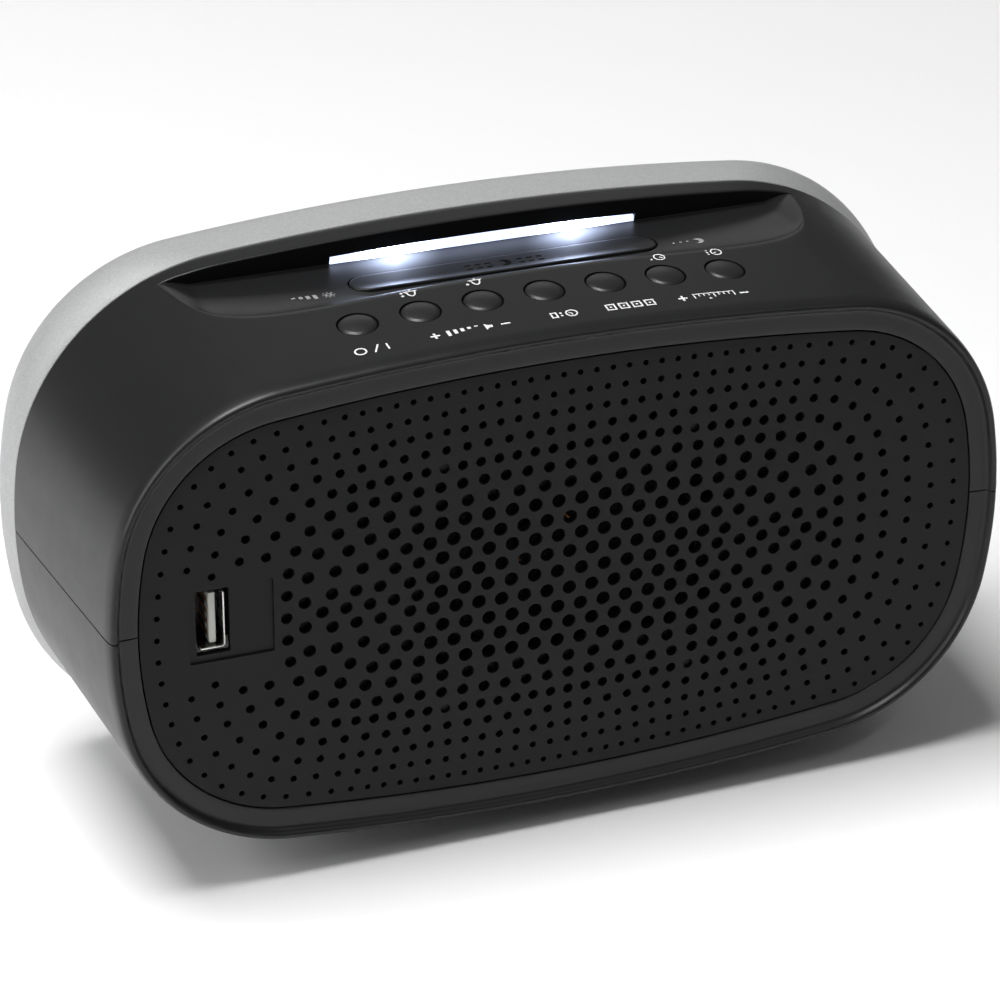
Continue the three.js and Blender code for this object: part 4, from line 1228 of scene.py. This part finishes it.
def segmentShape(letter, width, height, stroke):
    h = stroke / 2
    right, top = width / 2 - h, height / 2 - h
    ends = {
        "a": ((-right, top), (right, top)),
        "b": ((right, 0), (right, top)),
        "c": ((right, -top), (right, 0)),
        "d": ((-right, -top), (right, -top)),
        "e": ((-right, -top), (-right, 0)),
        "f": ((-right, 0), (-right, top)),
        "g": ((-right, 0), (right, 0)),
    }[letter]
    a, b = (np.array(p, float) for p in ends)
    along = (b - a) / np.linalg.norm(b - a)
    side = np.array([-along[1], along[0]])
    a, b = a + along * digits["tipGap"], b - along * digits["tipGap"]
    return [a, a + (along + side) * h, b + (side - along) * h,
            b, b - (side + along) * h, a + (along - side) * h]


def buildDigits():
    d = digits
    face = depthOf("display_module", 0)
    middle = (riseOf("display_module", 0) + riseOf("display_module", 1)) / 2
    shapes = []
    at = d["start"]
    for letter in d["text"]:
        if letter == ":":
            at -= (d["pitch"] - d["colonGap"]) / 2
            for side in (-1, 1):
                shapes.append((at, circlePoints(0, side * d["dotRise"], d["dotRadius"], 16)))
            at += (d["pitch"] + d["colonGap"]) / 2
            continue
        for name in segmentTable[letter]:
            shapes.append((at, segmentShape(name, d["width"], d["height"], d["stroke"])))
        at += d["pitch"]
    solids = []
    for x, points in shapes:
        rings = [[(x + p[0] + d["slant"] * p[1], depth, middle + p[1]) for p in points]
                 for depth in (face - 0.3, face + 0.06)]
        solids.append(stackRings(rings))
    verts, faces = joinShapes(solids)
    newPiece("timeFigures", verts, faces, segmentGlow, "cabinet", "diffuser", 30)


buildBezel()
buildWindow()
buildDigits()
print("bezel, window and figures built")


def buildKey(name, x):
    lean = math.atan((topRise(0, jointDepth) - topRise(0, 0)) / jointDepth)
    roll = math.asin(x / cabinetOutline(keyDepth)["crown"])
    top = topRise(x, keyDepth)
    radius = keys["radius"]
    soft = keys["edgeRound"]
    profile = [(0.0, keys["dome"])]
    for i in range(1, 10):
        r = (radius - soft) * i / 9
        profile.append((r, keys["dome"] * (1 - (r / radius) ** 2) - 0.02))
    for i in range(1, 7):
        angle = (math.pi / 2) * i / 6
        drop = keys["edgeDrop"] * (1 - math.cos(angle))
        profile.append((radius - soft + soft * math.sin(angle), -0.02 - drop))
    skirt = radius + keys["skirt"]
    profile += [(radius, keys["skirtTop"]), (skirt, keys["skirtTop"]), (skirt, keys["skirtFoot"]),
                (keys["stem"], keys["skirtFoot"]), (keys["stem"], keys["stemFoot"] - top)]
    turn = Matrix.Rotation(roll, 3, "Y") @ Matrix.Rotation(-lean, 3, "X")
    rings = []
    for r, rise in profile:
        points = [Vector(point) for point in atRise(circlePoints(0, 0, r, 56), rise)]
        if rise > -5:        # the stem's foot stays upright
            points = [turn @ point for point in points]
        rings.append([(x + point.x, keyDepth - point.y, top + point.z) for point in points])
    hub = tuple(np.mean(np.array(rings[0]), axis=0))
    verts, faces = stackRings(rings[1:], closeEnds=True)
    verts[-2] = hub
    piece = newPiece(name + "Key", verts, faces, keyBlack, name + "_key", "key_black", 50)
    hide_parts(name + "_button")


for keyName, keyX in zip(keys["names"], keyXs):
    buildKey(keyName, keyX)


def buildSnooze():
    s = snooze
    top = riseOf("snooze_bar", 1)
    rows = [(4.05, top)] + [(by / 10, top) for by in range(38, 5, -3)]
    rows += [(by, top - drop) for by, drop in s["edge"]]
    liftFrom = s["depth"] - s["halfWidth"] + s["liftRun"]
    rings = []
    for by, rise in rows:
        ring = []
        for x, d, r in stadiumRing(s["halfLength"] - by, s["halfWidth"] - by, s["depth"], rise, 24):
            ring.append((x, d, r + s["rearLift"] * max((liftFrom - d) / s["liftRun"], 0) ** 2))
        rings.append(ring)
    for grow, rise in ((0, s["flangeTop"]), (s["flange"], s["flangeTop"]), (s["flange"], s["flangeFoot"])):
        rings.append(stadiumRing(s["halfLength"] + grow, s["halfWidth"] + grow, s["depth"], rise, 24))
    shapes = [stackRings(rings)]
    for side in (-1, 1):
        shapes.append(roundPost(s["stemAt"] * side, s["depth"], keys["stem"], keys["stemFoot"], 50.0, 20))
    verts, faces = joinShapes(shapes)
    piece = newPiece("snoozeBar", verts, faces, keyBlack, "snooze_key", "key_black", 50)
    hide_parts("snooze_bar")


buildSnooze()


def buildLightBar():
    b = bar
    near = depthOf("light_bar", 1)
    far = depthOf("light_bar", 0)
    rings = []
    soft = 0.28
    for by, depth in ((soft, near), (soft * 0.3, near + soft * 0.3), (0.0, near + soft), (0.0, far)):
        verts, _ = archedBar(b["halfLength"] - by, b["bottom"] + by * 0.6, b["end"] - by * 0.6,
                             b["middle"] - by * 0.6, depth, depth + 1, 240, b["endRound"])
        rings.append(verts[: len(verts) // 2 - 1])
    piece = newPiece("lightBar", *stackRings(rings), diffuserLit, "cabinet", "diffuser", 40)
    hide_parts("light_bar")


buildLightBar()
print("controls built")

ink = {"lift": 0.03, "sink": 0.06, "line": 0.36, "keyRow": 5.5, "rearRow": 23.0, "floorRow": 35.2}


def onFloor(x, depth):
    return recess["floor"]


def inkStroke(points, closed=False, width=None):      # a ribbon along a drawn line
    half = (width or ink["line"]) / 2
    pts = [np.array(p, float) for p in points]
    count = len(pts)
    sides = ([], [])
    for i, p in enumerate(pts):
        before = pts[i - 1] if closed or i > 0 else None
        after = pts[(i + 1) % count] if closed or i < count - 1 else None
        heading = np.zeros(2)
        for a, b in ((before, p), (p, after)):
            if a is not None and b is not None:
                heading += (b - a) / max(np.linalg.norm(b - a), 1e-9)
        heading /= max(np.linalg.norm(heading), 1e-9)
        normal = np.array([-heading[1], heading[0]])
        stretch = 1.0
        if before is not None and after is not None:
            first = (p - before) / max(np.linalg.norm(p - before), 1e-9)
            stretch = 1 / max(abs(np.dot(np.array([-first[1], first[0]]), normal)), 0.5)
        sides[0].append(p + normal * half * stretch)
        sides[1].append(p - normal * half * stretch)
    faces = []
    spans = count if closed else count - 1
    for i in range(spans):
        j = (i + 1) % count
        faces.append((i, j, count + j, count + i))
    return sides[0] + sides[1], faces


def inkFill(points):
    count = len(points)
    return [np.array(p, float) for p in points], [tuple(range(count))]


def ring(cx, cy, radius, start=0, end=360, steps=18):
    angles = [math.radians(start + (end - start) * i / steps) for i in range(steps + 1)]
    points = [(cx + radius * math.cos(a), cy + radius * math.sin(a)) for a in angles]
    return points[:-1] if end - start == 360 else points


def dot(cx, cy, radius=0.3, steps=10):
    return inkFill(ring(cx, cy, radius, steps=steps))


def printMark(name, shapes, x, depth, surface, finish, body, slotName):
    verts, faces = [], []
    for flat, cells in shapes:
        start = len(verts)
        count = len(flat)
        for level in (ink["lift"], -ink["sink"]):
            for u, v in flat:
                px, pd = x + u, depth - v
                verts.append((px, pd, surface(px, pd) + level))
        used = {}
        for cell in cells:
            faces.append(tuple(start + i for i in cell))
            faces.append(tuple(start + count + i for i in reversed(cell)))
            for a, b in zip(cell, cell[1:] + cell[:1]):
                if (b, a) in used:
                    del used[(b, a)]
                else:
                    used[(a, b)] = True
        for a, b in used:
            faces.append((start + b, start + a, start + count + a, start + count + b))
    newPiece(name, verts, faces, finish, body, slotName, 30)


def plusSign():
    arm, half = 1.0, 0.24
    outline = [(-arm, -half), (-half, -half), (-half, -arm), (half, -arm), (half, -half), (arm, -half),
               (arm, half), (half, half), (half, arm), (-half, arm), (-half, half), (-arm, half)]
    return [inkStroke([(-arm, 0), (-half, 0), (half, 0), (arm, 0)], width=0.48),
            inkFill([p for p in outline if abs(p[0]) <= half and p[1] >= half]),
            inkFill([p for p in outline if abs(p[0]) <= half and p[1] <= -half])]


def minusSign():
    return [inkStroke([(-1.0, 0), (1.0, 0)], width=0.48)]


def boxOutline(left, right, low, high):
    return [(left, low), (right, low), (right, high), (left, high)]


def powerMark():
    shapes = [inkStroke([(-3.6, -1.1), (-3.6, 1.1)]), inkStroke([(-1.9, -1.3), (-0.6, 1.3)])]
    shapes.append(inkStroke(ring(2.1, 0, 1.15), closed=True))
    return shapes


def volumeMark():
    horn = [(-4.6, -0.45), (-3.9, -0.45), (-3.0, -1.15), (-3.0, 1.15), (-3.9, 0.45), (-4.6, 0.45)]
    shapes = [inkFill(horn)]
    for i in range(5):
        tall = 0.35 + 0.42 * i
        at = -1.7 + 1.5 * i
        shapes.append(inkFill(boxOutline(at, at + 0.75, -1.1, -1.1 + tall)))
    return shapes


def clockMark():
    hands = [(-1.5, 0.75), (-1.5, 0.0), (-0.95, -0.3)]
    figure = [(1.7, 0.9), (2.8, 0.9), (2.8, -0.9), (1.7, -0.9)]
    return [inkStroke(ring(-1.5, 0, 1.15), closed=True), inkStroke(hands, width=0.26),
            dot(0.75, 0.5), dot(0.75, -0.5), inkStroke(figure, closed=True)]


def memoryMark():
    shapes = []
    for i in range(4):
        left = -5.3 + 2.85 * i
        shapes.append(inkStroke(boxOutline(left, left + 1.8, -1, 1), closed=True))
        shapes.append(dot(left + 0.9, 0, 0.28))
    return shapes


def tuningMark():
    shapes = [inkStroke([(-4.6, -1.1), (4.6, -1.1)], width=0.28)]
    for i in range(9):
        tall = 1.5 if i % 4 == 0 else 0.85
        at = -4.4 + 1.1 * i
        shapes.append(inkStroke([(at, -0.9), (at, -0.9 + tall)], width=0.26))
    shapes.append(inkFill([(0.9, 1.2), (1.65, 1.2), (1.3, 0.45)]))
    return shapes


def bellMark(dots):
    bell = [(-1.5, -0.75), (-1.15, -0.35), (-1.05, 0.35), (-0.75, 0.9), (-0.3, 1.15), (0.15, 0.9),
            (0.45, 0.35), (0.55, -0.35), (0.9, -0.75)]
    shapes = [inkStroke(bell, closed=True, width=0.32), dot(-0.3, -1.2, 0.22)]
    for i in range(dots):
        shapes.append(dot(1.7, 0.6 - 1.1 * i, 0.34))
    return shapes


def handMark(angle, pips):
    turn = math.radians(angle)
    tip = (-0.6 + 0.85 * math.sin(turn), 0.85 * math.cos(turn))
    face = ring(-0.6, 0, 1.15)
    shapes = [inkStroke(face, closed=True, width=0.3), inkStroke([(-0.6, 0), tip], width=0.3)]
    for i in range(pips):
        shapes.append(dot(1.4, 0.75 - 0.75 * i, 0.24))
    return shapes


def sunMark():
    shapes = [inkStroke(ring(-3.2, 0, 0.6, steps=14), closed=True, width=0.28)]
    for i in range(8):
        turn = math.pi / 4 * i
        near, far = 0.95, 1.4
        shapes.append(inkStroke([(-3.2 + near * math.cos(turn), near * math.sin(turn)),
                                 (-3.2 + far * math.cos(turn), far * math.sin(turn))], width=0.24))
    for i in range(4):
        at = -0.7 + 1.5 * i
        tall = 2.0 - 0.45 * i
        shapes.append(inkFill(boxOutline(at, at + 0.8, -1, -1 + tall)))
    return shapes


def moonPoints(cx, cy, radius):
    outer = ring(cx, cy, radius, 50, 310, 16)
    inner = ring(cx + radius * 0.62, cy, radius * 0.76, 283, 77, 12)
    return outer + inner


def moonMark():
    shapes = [inkFill(moonPoints(-2.6, 0, 1.25))]
    for i in range(3):
        at = -0.4 + 1.6 * i
        shapes.append(dot(at, -0.55, 0.3))
    return shapes


def moonRow():
    shapes = [inkFill(moonPoints(0, 0, 1.5))]
    for side in (-1, 1):
        for i in range(3):
            near, far = side * (2.9 + 2.2 * i), side * (4.2 + 2.2 * i)
            for v in (-0.9, 0.9):
                shapes.append(inkStroke([(near, v), (far, v)], width=0.4))
    return shapes


def printAll():
    keyRow = (
        ("powerPrint", powerMark(), 40.9),
        ("volumePlusPrint", plusSign(), 27.3),
        ("volumePrint", volumeMark(), 19.7),
        ("volumeMinusPrint", minusSign(), 12.3),
        ("timePrint", clockMark(), -0.4),
        ("presetPrint", memoryMark(), -14.6),
        ("tuningPlusPrint", plusSign(), -26.3),
        ("tuningPrint", tuningMark(), -33.4),
        ("tuningMinusPrint", minusSign(), -40.0),
    )
    rearRow = (
        ("secondAlarmPrint", bellMark(2), 26.4),
        ("firstAlarmPrint", bellMark(1), 12.4),
        ("hourPrint", handMark(300, 1), -27.9),
        ("minutePrint", handMark(60, 3), -40.8),
    )
    floorRow = (
        ("dimmerPrint", sunMark(), 42.8),
        ("sleepPrint", moonMark(), -40.2),
    )
    for row, depth, surface, finish in ((keyRow, ink["keyRow"], topRise, inkWhite),
                                        (rearRow, ink["rearRow"], topRise, inkWhite),
                                        (floorRow, ink["floorRow"], onFloor, inkGrey)):
        for name, shapes, x in row:
            printMark(name, shapes, x, depth, surface, finish, "cabinet", "white_plastic")


printAll()


def buildSnoozeMark():
    top = riseOf("snooze_bar", 1)
    printMark("snoozeMark", moonRow(), 0, snooze["depth"], lambda x, depth: top, keyGlossy,
              "snooze_key", "key_black")


buildSnoozeMark()
print("pictograms printed")

keptFinishes = {
    "cabinet_black": cabinetBlack, "grille_black": grilleBlack, "key_black": keyBlack,
    "silver_paint": silverPaint, "window_smoke": smokedWindow, "diffuser": diffuserLit,
    "rubber": rubberBlack, "plated": nickelSheet, "steel": zincSteel, "board": boardGreen,
    "ferrite": ferriteGrey, "cone_paper": conePaper, "spider_cloth": spiderCloth,
    "copper": copperWire, "white_plastic": nylonWhite, "display_face": displayBlack,
    "inlet_black": keyBlack,
}
for part in frame["record"]["subparts"]:
    node = frame["nodes"][part["node"]]
    node.data.materials.clear()
    # the speaker frame takes the near-black painted-shade steel instead of its own steel
    own = paintedShadeSteel if part["node"] == "speaker_frame" else keptFinishes[part["material_slot"]]
    node.data.materials.append(own)

studio = {
    "floorTone": 0.88,
    "floorFade": (0.45, 1.3),      # the floor turns white between these distances from the middle
    "skyLevel": 0.12,
    "aim": (0, 0, 0.06),
    "lights": (              # name, place, size, watts
        ("topLight", (0.4, 0.0, 1.6), (0.7, 0.7), 27),
        ("sideLight", (1.2, 0.05, 0.64), (0.5, 1.1), 8.5),
        ("frontLight", (-0.45, -1.6, 0.8), (0.9, 0.35), 1.0),
        ("crestLight", (-0.45, 0.75, 1.25), (0.9, 0.06), 1.0),
    ),
}


def buildStudio():
    mesh = bpy.data.meshes.new("floor")
    mesh.from_pydata([(-6, -6, 0), (6, -6, 0), (6, 6, 0), (-6, 6, 0)], [], [(0, 1, 2, 3)])
    finish = Finish("floorPaper")
    tone = studio["floorTone"]
    finish.set(Base_Color=finish.mix(finish.noise(3, 2), (tone, tone, tone), (tone + 0.02,) * 3))
    finish.set(Roughness=0.9)
    away = finish.node("ShaderNodeVectorMath", operation="LENGTH")
    finish.link(finish.coords, away.inputs[0])
    far = finish.ramp(away.outputs["Value"], 0, 1, *studio["floorFade"])
    seen = finish.node("ShaderNodeLightPath").outputs["Is Camera Ray"]
    bright = finish.node("ShaderNodeEmission")
    blend = finish.node("ShaderNodeMixShader")
    finish.link(finish.calculate("MULTIPLY", far, seen), blend.inputs[0])
    finish.link(finish.shader.outputs[0], blend.inputs[1])
    finish.link(bright.outputs[0], blend.inputs[2])
    finish.link(blend.outputs[0], finish.tree.nodes["Material Output"].inputs["Surface"])
    mesh.materials.append(finish.material)
    floor = bpy.data.objects.new("floor", mesh)
    bpy.context.scene.collection.objects.link(floor)
    world = bpy.data.worlds.new("studio")
    bpy.context.scene.world = world
    world.use_nodes = True
    tree = world.node_tree
    sky = tree.nodes["Background"]
    sky.inputs["Color"].default_value = (1, 1, 1, 1)
    sky.inputs["Strength"].default_value = studio["skyLevel"]
    backdrop = tree.nodes.new("ShaderNodeBackground")
    backdrop.inputs["Color"].default_value = (1, 1, 1, 1)
    path = tree.nodes.new("ShaderNodeLightPath")
    join = tree.nodes.new("ShaderNodeMixShader")
    tree.links.new(path.outputs["Is Camera Ray"], join.inputs[0])
    tree.links.new(sky.outputs[0], join.inputs[1])
    tree.links.new(backdrop.outputs[0], join.inputs[2])
    tree.links.new(join.outputs[0], tree.nodes["World Output"].inputs[0])


def softBox(name, at, size, watts):
    data = bpy.data.lights.new(name, "AREA")
    data.shape = "RECTANGLE"
    data.size, data.size_y = size
    data.energy = watts
    box = bpy.data.objects.new(name, data)
    bpy.context.scene.collection.objects.link(box)
    box.location = at
    box.rotation_mode = "QUATERNION"
    box.rotation_quaternion = (Vector(studio["aim"]) - Vector(at)).to_track_quat("-Z", "Y")


buildStudio()
for light in studio["lights"]:
    softBox(*light)
bpy.context.scene.view_settings.view_transform = "Standard"
print("studio built")
